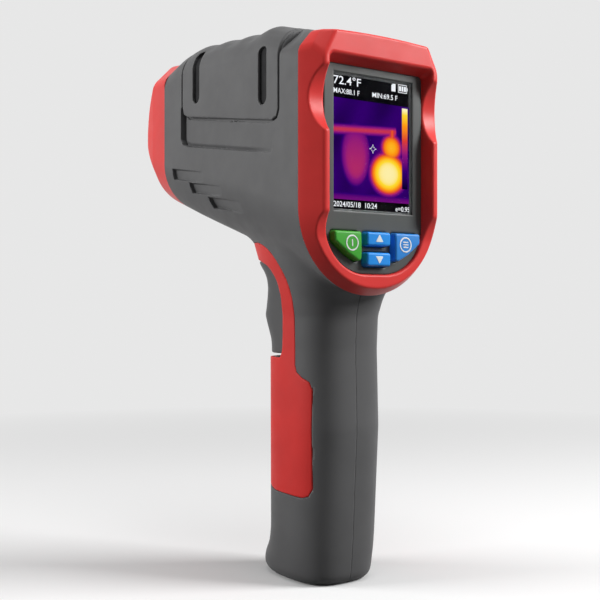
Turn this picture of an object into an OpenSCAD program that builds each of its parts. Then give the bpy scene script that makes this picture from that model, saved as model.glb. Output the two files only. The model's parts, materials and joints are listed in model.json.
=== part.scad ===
// Handheld thermal imaging camera.
// Origin: centre of the tripod thread in the flat base.
// +X is right seen from the display, +Y points where the lens looks, +Z is up.

/* [Overall] */
// Height from the base to the lowest point of the rear bezel
handle_len = 129; // [122:1:140]
// Width of the head at the rear bezel
head_w = 76; // [74:1:82]
// Length of the housing between its two bezel seams
head_len = 118; // [112:1:130]
// Height of the rear bezel
rear_h = 111; // [109:1:118]
// Distance from the tripod thread back to the rear seam
rear_reach = 34.2; // [33.6:0.2:36]
// Width of the head at the front seam
front_w = 74; // [72:1:78]
// How far the front seam's lowest point is above the rear bezel's
front_rise = 44.5; // [43:0.5:46]
// How far the roof rises above the rear bezel, at its rear crest
crest_rise = 8.6; // [7:0.2:10]
// How much further the roof rises to its front crest
roof_rise = 3.8; // [3:0.2:5]
// Wall of the head
head_wall = 2.6; // [2.2:0.1:3]
// Wall of the handle, its grip recess included
grip_wall = 3.2; // [3:0.1:3.6]

/* [Handle] */
// Half width of the handle at mid height
grip_half_w = 21.2; // [20.4:0.1:23]
// Distance from the tripod thread back to the handle's rear face
grip_rear = 26.2; // [25.4:0.1:28]
// Distance from the tripod thread to the handle's front face
grip_front = 22.3; // [22:0.1:24]
// How far the toe at the base stands ahead of the handle
toe = 6.2; // [4:0.2:8]
// Thickness of the red grip insert
insert_t = 1.6; // [1.2:0.1:1.9]
// Height of the lower edge of the grip insert
insert_low = 40.5; // [38:0.5:46]

/* [Display end] */
// Width of the display's active area
screen_w = 43.2; // [40:0.1:44]
// Height of the display's active area
screen_h = 57.6; // [54:0.1:58]
// Height of the display's centre above the middle of the bezel's lower loop
screen_up = 27.4; // [27:0.1:29]
// Depth of the rear bezel
bezel_depth = 10.1; // [9:0.1:12]
// Faceplate thickness
plate_t = 2; // [1.6:0.1:2.2]
// Key travel
key_travel = 0.8; // [0.5:0.05:0.9]
// How far the keys stand above the faceplate
key_proud = 3.6; // [2.5:0.1:4]

/* [Lens end] */
// Depth of the front bezel outside its cheeks
nose_depth = 15.5; // [14:0.5:18]
// How far the cheeks stand ahead of the rest of the front bezel
cheek_proud = 10; // [8:0.5:11]
// Radius of the lens barrel
barrel_r = 21; // [20:0.1:21.5]
// Radius of the infrared lens
lens_r = 15; // [14:0.1:16]
// Thickness of the infrared lens
lens_t = 4; // [3:0.1:4.5]

/* [Trigger] */
// Width of the trigger's root on its pin
trigger_w = 24; // [23:0.1:25]
// Length of the trigger below its pin
trigger_len = 46.5; // [45.5:0.5:47.5]
// Radius of the trigger pin
pin_r = 1.5; // [1.2:0.1:1.8]

/* [Cover] */
// Thickness of the saddle cover
cover_t = 1.4; // [1.2:0.1:1.8]
// Length of the saddle cover
cover_len = 84; // [80:1:86]
// Length of the port flap from its free edge to its pin
flap_len = 24; // [22:0.5:26]
// Width of the port flap
flap_w = 27.6; // [26:0.2:30]
// Radius of the flap pin
flap_pin_r = 0.75; // [0.6:0.05:0.9]

/* [Standard parts] */
// Radius of the tripod thread, 1/4 inch by 20, at its minor diameter
thread_r = 2.6; // [2.5:0.05:2.7]
// Depth of the tripod thread
thread_len = 8.5; // [7:0.5:9]
// Radius of the battery cell
cell_r = 9.2; // [9:0.05:9.4]
// Length of the battery cell
cell_len = 65; // [64:0.5:66]
// Radius of a case screw's shank
screw_r = 1.25; // [1:0.05:1.5]

/* [Clearances] */
// Radial clearance of a pin in its running bore
run_fit = 0.05; // [0.02:0.01:0.1]
// Gap between pieces that move past each other
move_gap = 0.35; // [0.3:0.05:0.5]
// Gap round pieces that are set into each other
set_gap = 0.1; // [0.05:0.05:0.2]

/* [Hidden] */
$fn = 32;

// Places along Y
seam_rear = -rear_reach;
seam_front = seam_rear + head_len;
flange_t = 1.8;
plate_back = seam_rear - flange_t;
plate_face = plate_back - plate_t;
rim_y = seam_rear - bezel_depth;
loop_rim_y = rim_y + 4.8;
nose_y = seam_front + nose_depth;
cheek_y = nose_y + cheek_proud;

// Heights
half_w = head_w / 2;
front_half_w = front_w / 2;
loop_z = handle_len + half_w;
rear_top = handle_len + rear_h;
front_low = handle_len + front_rise;
front_top = rear_top + 8;
screen_z = loop_z + screen_up;
lens_z = front_low + 34;

// Head sections: [y, half width, top, bottom, bottom corner radius, chamfer width, chamfer height]
loop_flat = 0.5;
belly = 0.7;
crown = 1.2;
function along(a, b, y) = a + (b - a) * (y - seam_rear) / head_len;
function station(y, top, lift = 0) = [y, along(half_w, front_half_w, y), top,
    along(handle_len, front_low, y) + lift, along(half_w - loop_flat, 22.5, y), along(7, 9, y),
        along(8.2, 9, y)];
crest_top = rear_top + crest_rise;
HEAD = [station(seam_rear, rear_top), station(seam_rear + 29, crest_top, belly),
    station(seam_rear + 42, crest_top - 0.5, belly + 0.4), station(seam_front - 54, crest_top + 1.5,
        belly + 0.6),
    station(seam_front - 27, crest_top + roof_rise, 0.4), station(seam_front - 12,
        crest_top + roof_rise - 1.2),
    station(seam_front, front_top)];

ARC_STEPS = 8;
function arc(cx, cz, r, a0, a1) = [for (i = [0:ARC_STEPS])
    [cx + r * cos(a0 + (a1 - a0) * i / ARC_STEPS), cz + r * sin(a0 + (a1 - a0) * i / ARC_STEPS)]];
function mirrored(points) = [for (i = [len(points) - 1:-1:0]) [-points[i][0], points[i][1]]];
function half_outline(w, top, bottom, r, cw, ch) =
    concat(arc(w - r, bottom + r, r, -90, 0), [[w, top - ch], [w - cw, top]]);
function outline(w, top, bottom, r, cw, ch, mid) = concat(half_outline(w, top, bottom, r, cw, ch),
    [[0, top + mid]], mirrored(half_outline(w, top, bottom, r, cw, ch)));
function head_ring(s, grow) = [for (p = outline(s[1] + grow, s[2] + grow, s[3] - grow,
    s[4] + grow, s[5], s[6], crown)) [p[0], s[0], p[1]]];

// A closed solid through a list of rings that all have as many points
module loft(rings) {
    n = len(rings[0]);
    last = len(rings) - 1;
    polyhedron(points = [for (ring = rings) for (p = ring) p],
        faces = concat([[for (i = [n - 1:-1:0]) i]], [[for (i = [0:n - 1]) last * n + i]],
            [for (k = [0:last - 1]) for (i = [0:n - 1]) let (j = (i + 1) % n)
                [k * n + i, k * n + j, (k + 1) * n + j, (k + 1) * n + i]]));
}

module head_solid(grow = 0, ends = 0) {
    loft([for (i = [0:len(HEAD) - 1]) let (s = HEAD[i])
        head_ring([s[0] + (i == 0 ? -ends : i == len(HEAD) - 1 ? ends : 0),
            s[1], s[2], s[3], s[4], s[5], s[6]], grow)]);
}

// Handle sections: [z, rear y, front y, half width, half width at the front if it is less]
OVAL_STEPS = 28;
OVAL_POWER = 2.9;
TRIGGER_POWER = 4.6;
neck = handle_len - 24;
HANDLE = [
    [0, 8 - grip_rear, grip_front + 1.6, grip_half_w - 4.4],
    [1.3, 5.6 - grip_rear, grip_front + toe - 2, grip_half_w - 2.2],
    [4.2, 4.4 - grip_rear, grip_front + toe, grip_half_w - 1],
    [9, 3.9 - grip_rear, grip_front + toe - 1, grip_half_w - 0.7],
    [15, 3.3 - grip_rear, grip_front + 1.3, grip_half_w - 0.6],
    [22, 2.8 - grip_rear, grip_front, grip_half_w - 0.5],
    [70, -grip_rear, grip_front, grip_half_w],
    [neck, 1 - grip_rear, grip_front + 0.3, grip_half_w - 0.2],
    [neck + 15, 0.4 - grip_rear, grip_front + 1.2, grip_half_w + 0.3, grip_half_w - 0.2],
    [neck + 23, -1.8 - grip_rear, grip_front + 2.2, grip_half_w + 2.6, grip_half_w - 0.6],
    [neck + 31, 2 - rear_reach, grip_front + 4.8, grip_half_w + 6.1, grip_half_w - 0.8],
    [neck + 40, 0.6 - rear_reach, grip_front + 11, grip_half_w + 10.3, grip_half_w - 0.6],
    [neck + 50, 0.4 - rear_reach, grip_front + 16.5, half_w - 3.5, grip_half_w - 1],
    [neck + 60, 0.4 - rear_reach, grip_front + 25, half_w - 2, grip_half_w + 2]];
function power(c, p) = sign(c) * pow(abs(c), 2 / p);
function oval(rear, front, w, tip, z, p = OVAL_POWER) = [for (i = [0:OVAL_STEPS - 1])
    let (t = -360 * i / OVAL_STEPS, s = power(sin(t), p))
    [(w + (tip - w) * (1 + s) / 2) * power(cos(t), p), (rear + front) / 2 + (front - rear) / 2 * s, z]];

module handle_solid(inset = 0, low = 0) {
    loft([for (s = HANDLE) if (s[0] >= low)
        oval(s[1] + inset, s[2] - inset, s[3] - inset, (len(s) > 4 ? s[4] : s[3]) - inset, s[0])]);
}

module box(x0, x1, y0, y1, z0, z1) {
    translate([x0, y0, z0]) cube([x1 - x0, y1 - y0, z1 - z0]);
}
// A side view outline of [y, z] points, extruded across the whole width
module side_prism(points, w = 120) {
    rotate([90, 0, 90]) linear_extrude(w, center = true) polygon(points);
}
// A rear view outline of [x, z] points, extruded from y0 to y1
module rear_prism(points, y0, y1) {
    translate([0, y1, 0]) rotate([90, 0, 0]) linear_extrude(y1 - y0) polygon(points);
}
module x_rod(r, x0, x1, y, z) {
    translate([x0, y, z]) rotate([0, 90, 0]) cylinder(r = r, h = x1 - x0);
}
module y_rod(r, y0, y1, x, z) {
    translate([x, y0, z]) rotate([-90, 0, 0]) cylinder(r = r, h = y1 - y0);
}

// Grip insert, seen from the side
band_top = handle_len + 25.5;
step_z = handle_len - 37;
INSERT = concat([[grip_front + 40, insert_low - 0.5], [-13, insert_low - 1.5], [-17.6, insert_low + 3],
    [-17.8, step_z - 3.5], [-16.6, step_z - 1], [-9.4, step_z + 1.5], [-8, step_z + 4],
    [-8, handle_len - 2]],
    [for (a = [15:15:90]) [22 - 30 * cos(a), handle_len - 2 + 27 * sin(a)]], [[grip_front + 40, band_top]]);

// Trigger and its pin
pivot_y = 17;
pivot_z = handle_len + 20;
window_low = pivot_z - trigger_len - 1.5;
window_back = -0.5;
trigger_half = trigger_w / 2;
pin_half = trigger_half + 5;
trigger_side = grip_half_w - grip_wall - move_gap - set_gap;
TRIGGER_WINDOW = [for (p = [[45, -3], [6, -3], [-1.6, -4.7], [-6, -6], [-9.6, -8.2], [-12.5, -11.3],
    [-14.3, -14.6], [-15.4, -19.5], [-15.8, -29], [-15.2, -43], [-14.7, 1 - trigger_len],
    [-13, -trigger_len - 1.5], [45, -trigger_len - 1.5]]) [pivot_y + p[0], pivot_z + p[1]]];

// Screw places: [y, z] of the case screws, [x, z] of the others
boss_r = 3.3;
CASE_SCREWS = [[12.6, 36], [-12, handle_len - 34], [seam_front - 24, front_low + 7],
    [seam_front - 13.5, rear_top - 1], [seam_rear + 21, rear_top - 2], [seam_rear + 17, handle_len + 3]];
small_screw_r = 1;
PLATE_SCREWS = [for (s = [-1, 1]) for (z = [loop_z + 2, rear_top - 12]) [s * (half_w - head_wall - 3), z]];
PANEL_SCREWS = [for (s = [-1, 1]) for (z = [front_low + 21, front_top - 14])
    [s * (front_half_w - head_wall - 3.6), z]];

// Battery
cell_y = -4.5;
holder_r = cell_r + 1.8;
holder_low = 9.4;
cell_low = holder_low + 6.6;
holder_top = cell_low + cell_len + 1.5;
shelf_z = handle_len - 25;
shelf_half = 12.6;

// Ports under the flap
deck_z = rear_top + 6;
deck_t = 4;
flap_y = seam_rear + 60;
flap_z = rear_top + 9;
flap_round = 2.1;
port_y = 15;

module ribs_and_bosses() {
    for (z = [30, 68]) difference() {
        box(-40, 40, -40, 40, z, z + 2);
        translate([0, cell_y, z - 1]) cylinder(r = holder_r + set_gap / 2, h = 4);
    }
    box(-40, 40, -40, window_back - 9, shelf_z, shelf_z + 2);
    box(-shelf_half, shelf_half, -40, window_back, shelf_z, shelf_z + 2);
    for (p = CASE_SCREWS) x_rod(boss_r, -40, 40, p[0], p[1]);
    x_rod(pin_r + 2, pin_half - 4, 60, pivot_y, pivot_z);
    x_rod(pin_r + 2, -60, 4 - pin_half, pivot_y, pivot_z);
    x_rod(2, -60, 60, pivot_y - 11, pivot_z + 6);
    for (p = PLATE_SCREWS) {
        y_rod(2.5, seam_rear, seam_rear + 12, p[0], p[1]);
        box(min(p[0], sign(p[0]) * half_w), max(p[0], sign(p[0]) * half_w), seam_rear, seam_rear + 12,
            p[1] - 2.5, p[1] + 2.5);
    }
    for (p = PANEL_SCREWS) y_rod(3.8, seam_front - 12, seam_front, p[0], p[1]);
    box(-19, 19, flap_y - flap_len - 6, flap_y + 6, deck_z - deck_t, rear_top + 40);
}

module cavity() {
    difference() {
        union() {
            head_solid(-head_wall, 1);
            handle_solid(grip_wall, 9);
            box(-13, 13, 8 - grip_rear + 3, 18, 3, 9.5);
        }
        ribs_and_bosses();
    }
}

module housing() {
    difference() {
        union() {
            head_solid();
            handle_solid();
        }
        cavity();
        difference() {
            side_prism(INSERT);
            handle_solid(insert_t, 15);
        }
        // trigger window
        side_prism(TRIGGER_WINDOW);
        // base plate
        base_outline(set_gap, -1, 4);
        // bores for the trigger pin
        x_rod(pin_r, -pin_half, pin_half, pivot_y, pivot_z);
        // screw holes
        for (p = CASE_SCREWS) {
            x_rod(screw_r + set_gap, -10, 8, p[0], p[1]);
            x_rod(2.7, 8, 60, p[0], p[1]);
        }
        for (p = PLATE_SCREWS) y_rod(small_screw_r + set_gap / 2, seam_rear - 1, seam_rear + 9, p[0], p[1]);
        for (p = PANEL_SCREWS) y_rod(small_screw_r + set_gap / 2, seam_front - 9, seam_front + 1, p[0],
            p[1]);
        // pocket for the flap and the openings of the ports
        flap_pocket();
        flap_bore(0);
        box(-4.5, 4.5, port_y - 0.1, port_y + 3.3, deck_low - 1, deck_z + 1);
        box(-5.7, 5.7, card_y - 0.6, card_y + 0.6, deck_low - 1, deck_z + 1);
        cover_pocket();
    }
}

module left_shell() {
    color([0.30, 0.30, 0.30]) intersection() {
        housing();
        box(-80, 0, -80, 160, -1, 300);
    }
}
module right_shell() {
    color([0.30, 0.30, 0.30]) intersection() {
        housing();
        box(0, 80, -80, 160, -1, 300);
    }
}
module grip_insert() {
    color([0.85, 0.20, 0.20]) difference() {
        intersection() {
            union() {
                head_solid();
                handle_solid();
            }
            side_prism(INSERT);
        }
        handle_solid(insert_t, 15);
        side_prism(TRIGGER_WINDOW);
    }
}

module base_outline(grow, z0, z1) {
    translate([0, 0, z0]) linear_extrude(z1 - z0)
        polygon([for (p = oval(12 - grip_rear - grow, grip_front - 3 + grow, grip_half_w - 8.6 + grow,
            grip_half_w - 8.6 + grow, 0)) [p[0], p[1]]]);
}
module base_plate() {
    color([0.14, 0.14, 0.14]) difference() {
        union() {
            base_outline(0, 0, 3);
            box(-12.8, 12.8, 11.2 - grip_rear, 17.8, 3, 5);
            cylinder(r = 7.5, h = 9.4);
        }
        translate([0, 0, -1]) cylinder(r = 4.5, h = 12);
    }
}
module tripod_insert() {
    color([0.78, 0.62, 0.30]) difference() {
        cylinder(r = 4.5, h = 9.4);
        translate([0, 0, -1]) cylinder(r = thread_r, h = thread_len + 1);
    }
}

// Rear bezel: outer form from the seam to the rim, and the opening inside it
function ring_at(points, y) = [for (p = points) [p[0], y, p[1]]];
rim_in = 6.4;
cove_in = 4.8;
open_w = 27.6;
open_low = handle_len + 9.2;
open_top = rear_top - 12.7;
module rear_opening(y0, y1) {
    rear_prism(outline(open_w, open_top, open_low, 22, 1.5, 1.5, 0), y0, y1);
}
module rear_bezel() {
    low = loop_z - 3;
    scoop_z = screen_z + 16.6;
    scoop_r = 18;
    scoop_y = plate_face - 0.2 - scoop_r;
    color([0.85, 0.20, 0.20]) difference() {
        loft([ring_at(outline(half_w - rim_in, rear_top - 1, handle_len + rim_in,
            half_w - rim_in - loop_flat, 5.6, 11, crown), rim_y),
            ring_at(outline(half_w - cove_in, rear_top - 0.5, handle_len + cove_in,
                half_w - cove_in - loop_flat, 4.7, 6.9, crown), loop_rim_y), head_ring(HEAD[0], 0)]);
        loft([ring_at(outline(open_w + 1.2, open_top + 2.6, open_low - 1.2, 24, 1.5, 1.5, 0), rim_y - 0.5),
            ring_at(outline(open_w, open_top, open_low, 22, 1.5, 1.5, 0), plate_face)]);
        rear_opening(plate_face - 0.01, seam_rear + 1);
        flange(set_gap, plate_back, seam_rear + 1);
        for (p = PLATE_SCREWS) y_rod(2.05, plate_back - 1.3, plate_back + 1, p[0], p[1]);
        side_prism([[rim_y - 9, 0], [loop_rim_y, 0], [loop_rim_y, low - 6], [rim_y, low], [rim_y - 9,
            low]]);
        x_rod(scoop_r, -60, 60, scoop_y, scoop_z, $fn = 96);
    }
}
flange_in = 2.9;
module flange(grow, y0, y1) {
    g = flange_in - grow;
    rear_prism(outline(half_w - g, rear_top - g, handle_len + g, half_w - g - loop_flat, 7, 8.2, 0),
        y0, y1);
}

// Display, seen from behind
module_w = 50;
module_h = 69.2;
module_t = 3.6;
module_y = plate_back + module_t;
module_low = screen_z - module_h / 2;
window_t = 1.2;
window_in = 0.8;
window_edge = 0.5;
chassis_t = 1.6;
chassis_y = module_y + chassis_t;
chassis_x = module_w / 2 + 2.6;
board_t = 1.6;
board_y = chassis_y + 2.8;
CHASSIS_POSTS = [for (s = [-1, 1]) for (z = [module_low + 6, rear_top - 16]) [s * chassis_x, z]];
BOARD_POSTS = [for (s = [-1, 1]) for (z = [module_low + 12, rear_top - 15]) [s * module_w / 2, z]];
main_board_half = chassis_x + 0.9;

// Keys, seen from behind, about the middle of the keypad
key_unit = half_w / 38;
key_z = open_low + 10.8;
keypad_half = 29.6 * key_unit;
POWER_KEY = key_unit * [[-9.2, 7.5], [-9.2, -5.2], [-11.5, -5.2], [-17, -2.3], [-24, 2.9], [-24.2, 7.5]];
MENU_KEY = [for (p = POWER_KEY) [-p[0], p[1]]];
UP_KEY = key_unit * [[-6.8, 1.3], [6.8, 1.3], [6.8, 7.5], [-6.8, 7.5]];
DOWN_KEY = [for (p = UP_KEY) [p[0], -p[1]]];
KEYS = [POWER_KEY, MENU_KEY, UP_KEY, DOWN_KEY];
KEY_CENTRES = [for (c = [[-15, 2.6], [15, 2.6], [0, 4.4], [0, -4.4]]) [0, key_z] + key_unit * c];
key_round = 1.2;
key_lip = 0.8;
dome_h = 0.8;
key_back = plate_back + set_gap + key_lip;
dome_top = key_back + key_travel + 0.1;
keypad_y = dome_top + dome_h;
keypad_top = module_low - 1.2;
KEYPAD_POSTS = [for (c = [[-27.8, 5.5], [27.8, 5.5], [-15.5, -9.8], [15.5, -9.8]]) [0,
    key_z] + key_unit * c];

module key_prism(points, grow, y0, y1) {
    translate([0, y1, key_z]) rotate([90, 0, 0]) linear_extrude(y1 - y0)
        offset(r = key_round + grow) offset(delta = -key_round) polygon(points);
}
module key(points) {
    key_prism(points, 0, plate_face - key_proud, key_back);
    key_prism(points, 0.8, key_back - key_lip, key_back);
}
module power_key() {
    color([0.27, 0.66, 0.24]) key(POWER_KEY);
}
module menu_key() {
    color([0.22, 0.52, 0.84]) key(MENU_KEY);
}
module up_key() {
    color([0.16, 0.58, 0.94]) key(UP_KEY);
}
module down_key() {
    color([0.16, 0.58, 0.94]) key(DOWN_KEY);
}

module faceplate() {
    gap = set_gap;
    color([0.33, 0.34, 0.34]) difference() {
        union() {
            rear_prism(outline(open_w - gap, open_top - gap, open_low + gap, 22, 1.5, 1.5, 0),
                plate_face, plate_back + 0.01);
            flange(0, plate_back, seam_rear);
            for (p = CHASSIS_POSTS) y_rod(1.8, seam_rear - 0.01, module_y, p[0], p[1]);
            for (p = KEYPAD_POSTS) y_rod(1.5, seam_rear - 0.01, keypad_y, p[0], p[1]);
        }
        box(-module_w / 2 - gap, module_w / 2 + gap, plate_back, seam_rear + 1,
            module_low - gap, module_low + module_h + gap);
        rear_prism(outline(keypad_half - 3.6, keypad_top, open_low - 0.4, 18, 1, 1, 0), plate_back,
            seam_rear + 1);
        window_hole(gap, plate_face - 1, plate_face + window_t);
        window_hole(-window_in, plate_face - 1, seam_rear);
        for (k = KEYS) key_prism(k, move_gap - 0.05, plate_face - 1, seam_rear + 1);
        for (p = PLATE_SCREWS) y_rod(small_screw_r + set_gap, plate_back - 1, seam_rear + 1, p[0], p[1]);
    }
}
module window_hole(grow, y0, y1) {
    w = screen_w / 2 + window_edge + grow;
    h = screen_h / 2 + window_edge + grow;
    box(-w, w, y0, y1, screen_z - h, screen_z + h);
}
module display_window() {
    color([0.04, 0.04, 0.06]) window_hole(0, plate_face, plate_face + window_t);
}
module display_module() {
    color([0.10, 0.10, 0.12]) box(-module_w / 2, module_w / 2, plate_back, module_y,
        module_low, module_low + module_h);
}
module chassis_plate() {
    color([0.20, 0.20, 0.20]) {
        box(-chassis_x - 2, chassis_x + 2, module_y, chassis_y, module_low + 1, rear_top - 13);
        for (p = BOARD_POSTS) y_rod(1.8, chassis_y - 0.01, board_y, p[0], p[1]);
    }
}
module main_board() {
    color([0.10, 0.38, 0.20]) box(-main_board_half, main_board_half, board_y, board_y + board_t,
        module_low + 8, rear_top - 11);
}
module processor_shield() {
    color([0.75, 0.75, 0.77]) box(-20, 6, board_y + board_t, board_y + board_t + 3, screen_z - 4,
        screen_z + 22);
}
module buzzer() {
    color([0.12, 0.12, 0.12]) difference() {
        y_rod(6, board_y + board_t, board_y + board_t + 4, 18, screen_z - 12);
        y_rod(1, board_y + board_t + 2, board_y + board_t + 5, 18, screen_z - 12);
    }
}
module keypad_board() {
    color([0.10, 0.38, 0.20]) {
        rear_prism(outline(keypad_half, keypad_top, open_low - 1.5, 20, 1, 1, 0), keypad_y,
            keypad_y + board_t);
        for (p = KEY_CENTRES) y_rod(2.2, dome_top, keypad_y + 0.01, p[0], p[1]);
    }
}

// Front bezel and panel
panel_y = nose_y - 4.5;
panel_wall = 2.4;
panel_flange_in = 1.3;
front_open_w = 27;
front_open_low = front_low + 7;
front_open_top = front_top - 5;
module front_opening(grow, y0, y1) {
    rear_prism(outline(front_open_w + grow, front_open_top + grow, front_open_low - grow, 17 + grow, 6,
        6, 0), y0, y1);
}
module front_flange(grow, y0, y1) {
    g = panel_flange_in - grow;
    rear_prism(outline(front_half_w - g, front_top - g, front_low + g, 22.5 - g, 9, 9, 0), y0, y1);
}
module front_bezel() {
    shell = 2.6;
    back = panel_y - panel_wall;
    color([0.85, 0.20, 0.20]) difference() {
        loft([head_ring(HEAD[len(HEAD) - 1], 0),
            ring_at(outline(front_half_w - 1.4, front_top + 2.5, front_low + 4.5, 23, 11, 11, crown),
                nose_y),
            ring_at(outline(front_half_w - 3.2, front_top + 1.5, front_low + 8, 23, 11, 11, crown),
                cheek_y)]);
        loft([head_ring([seam_front - 0.5, front_half_w, front_top, front_low, 22.5, 9, 9], -shell),
            ring_at(outline(front_half_w - 1.2 - shell, front_top + 2 - shell, front_low + 3.6 + shell,
                20.5, 10, 10, 0), back)]);
        front_flange(set_gap, seam_front - 1, seam_front + panel_wall + set_gap);
        loft([ring_at(outline(front_open_w, front_open_top, front_open_low, 17, 6, 6, 0), back - 1),
            ring_at(outline(front_open_w, front_open_top, front_open_low, 17, 6, 6, 0), panel_y),
            ring_at(outline(front_open_w + 2.6, front_open_top + 2.6, front_open_low - 2, 18, 6, 6, 0),
                cheek_y + 1)]);
        side_prism([[cheek_y + 9, lens_z + 8], [cheek_y, lens_z + 8], [cheek_y - 1.7, lens_z + 16.5],
            [cheek_y - 4.3, lens_z + 23], [nose_y, lens_z + 32], [nose_y, 400], [cheek_y + 9, 400]]);
        side_prism([[cheek_y + 9, lens_z], [cheek_y, lens_z], [cheek_y - 0.8, lens_z - 1.5], [nose_y,
            lens_z - 14],
            [nose_y, 0], [cheek_y + 9, 0]]);
    }
}

// Lens end
camera_z = lens_z + 29;
camera_x = 13;
flange_r = barrel_r + 3;
gasket_t = 0.8;
gasket_y = panel_y - panel_wall - gasket_t;
barrel_flange_y = gasket_y - 2.2;
barrel_rear_y = panel_y - 15;
seat_y = panel_y - 1;
barrel_front_y = cheek_y - 1.5;
sensor_t = 5;
sensor_w = 17;
lens_dome = 60;
module front_panel() {
    color([0.10, 0.10, 0.11]) difference() {
        union() {
            front_flange(0, seam_front, seam_front + panel_wall);
            front_opening(-set_gap, seam_front, panel_y);
        }
        difference() {
            front_opening(-set_gap - panel_wall, seam_front - 1, panel_y - panel_wall);
            y_rod(1.8, camera_board_y + board_t, panel_y, 0, camera_z);
        }
        y_rod(barrel_r + set_gap, seam_front, panel_y + 1, 0, lens_z);
        for (s = [-1, 1]) {
            y_rod(4.5, panel_y - 1, panel_y + 1, s * camera_x, camera_z);
            y_rod(3.7, seam_front, panel_y + 1, s * camera_x, camera_z);
        }
        for (p = PANEL_SCREWS) y_rod(small_screw_r + set_gap, seam_front - 1, panel_y, p[0], p[1]);
    }
}
module lens_barrel() {
    color([0.16, 0.16, 0.17]) difference() {
        union() {
            y_rod(barrel_r - 2, barrel_rear_y, barrel_flange_y + 0.01, 0, lens_z);
            y_rod(flange_r, barrel_flange_y, gasket_y, 0, lens_z);
            y_rod(barrel_r, gasket_y - 0.01, barrel_front_y, 0, lens_z);
        }
        y_rod(lens_r - 2.2, barrel_rear_y - 1, seat_y + 1, 0, lens_z);
        y_rod(lens_r + set_gap, seat_y, barrel_front_y + 1, 0, lens_z);
        translate([0, barrel_front_y - 3.5, lens_z]) rotate([-90, 0, 0])
            cylinder(r1 = lens_r + set_gap, r2 = lens_r + 3.5, h = 3.6);
    }
}
module barrel_gasket() {
    color([0.06, 0.06, 0.06]) difference() {
        y_rod(flange_r, gasket_y, gasket_y + gasket_t, 0, lens_z);
        y_rod(barrel_r + set_gap / 2, gasket_y - 1, gasket_y + gasket_t + 1, 0, lens_z);
    }
}
lens_edge_y = seat_y + lens_t - 0.6;
function dome(r) = lens_edge_y + sqrt(lens_dome * lens_dome - r * r) - sqrt(lens_dome * lens_dome - lens_r * lens_r);
module infrared_lens() {
    color([0.20, 0.22, 0.25]) translate([0, 0, lens_z]) rotate([-90, 0, 0]) rotate_extrude($fn = 96)
        polygon(concat([[0, seat_y], [lens_r, seat_y]], [for (i = [8:-1:0]) [lens_r * i / 8,
            dome(lens_r * i / 8)]]));
}
module lens_retainer() {
    rear = dome(lens_r - 2) + 0.05;
    color([0.12, 0.12, 0.12]) difference() {
        y_rod(lens_r + set_gap, rear, rear + 2.6, 0, lens_z);
        y_rod(lens_r - 2, rear - 1, rear + 4, 0, lens_z);
    }
}
module sensor_board() {
    h = barrel_r - 1;
    color([0.10, 0.38, 0.20]) box(-h, h, barrel_rear_y - board_t, barrel_rear_y, lens_z - h, lens_z + h);
}
module infrared_sensor() {
    h = sensor_w / 2;
    color([0.60, 0.58, 0.50]) box(-h, h, barrel_rear_y, barrel_rear_y + sensor_t, lens_z - h, lens_z + h);
}
camera_board_y = seam_front - 1.1;
module camera_board() {
    color([0.10, 0.38, 0.20]) box(-camera_x - 4.5, camera_x + 4.5, camera_board_y, camera_board_y + board_t,
        camera_z - 4.4, camera_z + 3.7);
}
module camera_module() {
    color([0.08, 0.08, 0.08]) {
        box(-camera_x - 4, -camera_x + 4, camera_board_y + board_t, camera_board_y + board_t + 4,
            camera_z - 4, camera_z + 3.7);
        y_rod(3.5, camera_board_y + board_t + 3.9, panel_y - 1, -camera_x, camera_z);
    }
}
module lamp() {
    color([0.85, 0.85, 0.80]) difference() {
        y_rod(3.5, camera_board_y + board_t, panel_y - 1, camera_x, camera_z);
        translate([camera_x, panel_y - 5, camera_z]) rotate([-90, 0, 0]) cylinder(r1 = 1.2, r2 = 3.1,
            h = 4.01);
    }
}
module camera_window() {
    color([0.05, 0.05, 0.07]) y_rod(4.4, panel_y - 1, panel_y, -camera_x, camera_z);
}
module lamp_window() {
    color([0.90, 0.90, 0.85]) y_rod(4.4, panel_y - 1, panel_y, camera_x, camera_z);
}

// Saddle cover and the flap in it
cover_rear = seam_rear + 15;
cover_front = cover_rear + cover_len;
cover_low = rear_top - 36.1;
cover_climb = 13.6;
COVER = [[cover_rear, cover_low + 5], [cover_rear + 1.3, cover_low + 2], [cover_rear + 5, cover_low + 0.8],
    [cover_front - 5, cover_low + cover_climb - 0.8], [cover_front - 1.3, cover_low + cover_climb + 1],
    [cover_front, cover_low + cover_climb + 5], [cover_front, rear_top + 60], [cover_rear, rear_top + 60]];
slot_w = 6.4;
slot_len = 25.4;
SLOTS = [[cover_rear + 12.1, cover_low + 21.3], [cover_front - 13.4, cover_low + 31]];
flap_half = flap_w / 2;
module cover_slots() {
    for (s = SLOTS) {
        box(-60, 60, s[0] - slot_w / 2, s[0] + slot_w / 2, s[1] - slot_len / 2 + slot_w / 2,
            s[1] + slot_len / 2 - slot_w / 2);
        for (e = [-1, 1]) x_rod(slot_w / 2, -60, 60, s[0], s[1] + e * (slot_len - slot_w) / 2);
    }
}
module flap_pocket() {
    box(-flap_half - move_gap, flap_half + move_gap, flap_y - flap_len - move_gap,
        flap_y + flap_round + move_gap, deck_z, rear_top + 60);
}
module flap_bore(fit) {
    x_rod(flap_pin_r + fit, -flap_half - 3, flap_half + 3, flap_y, flap_z);
}
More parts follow.
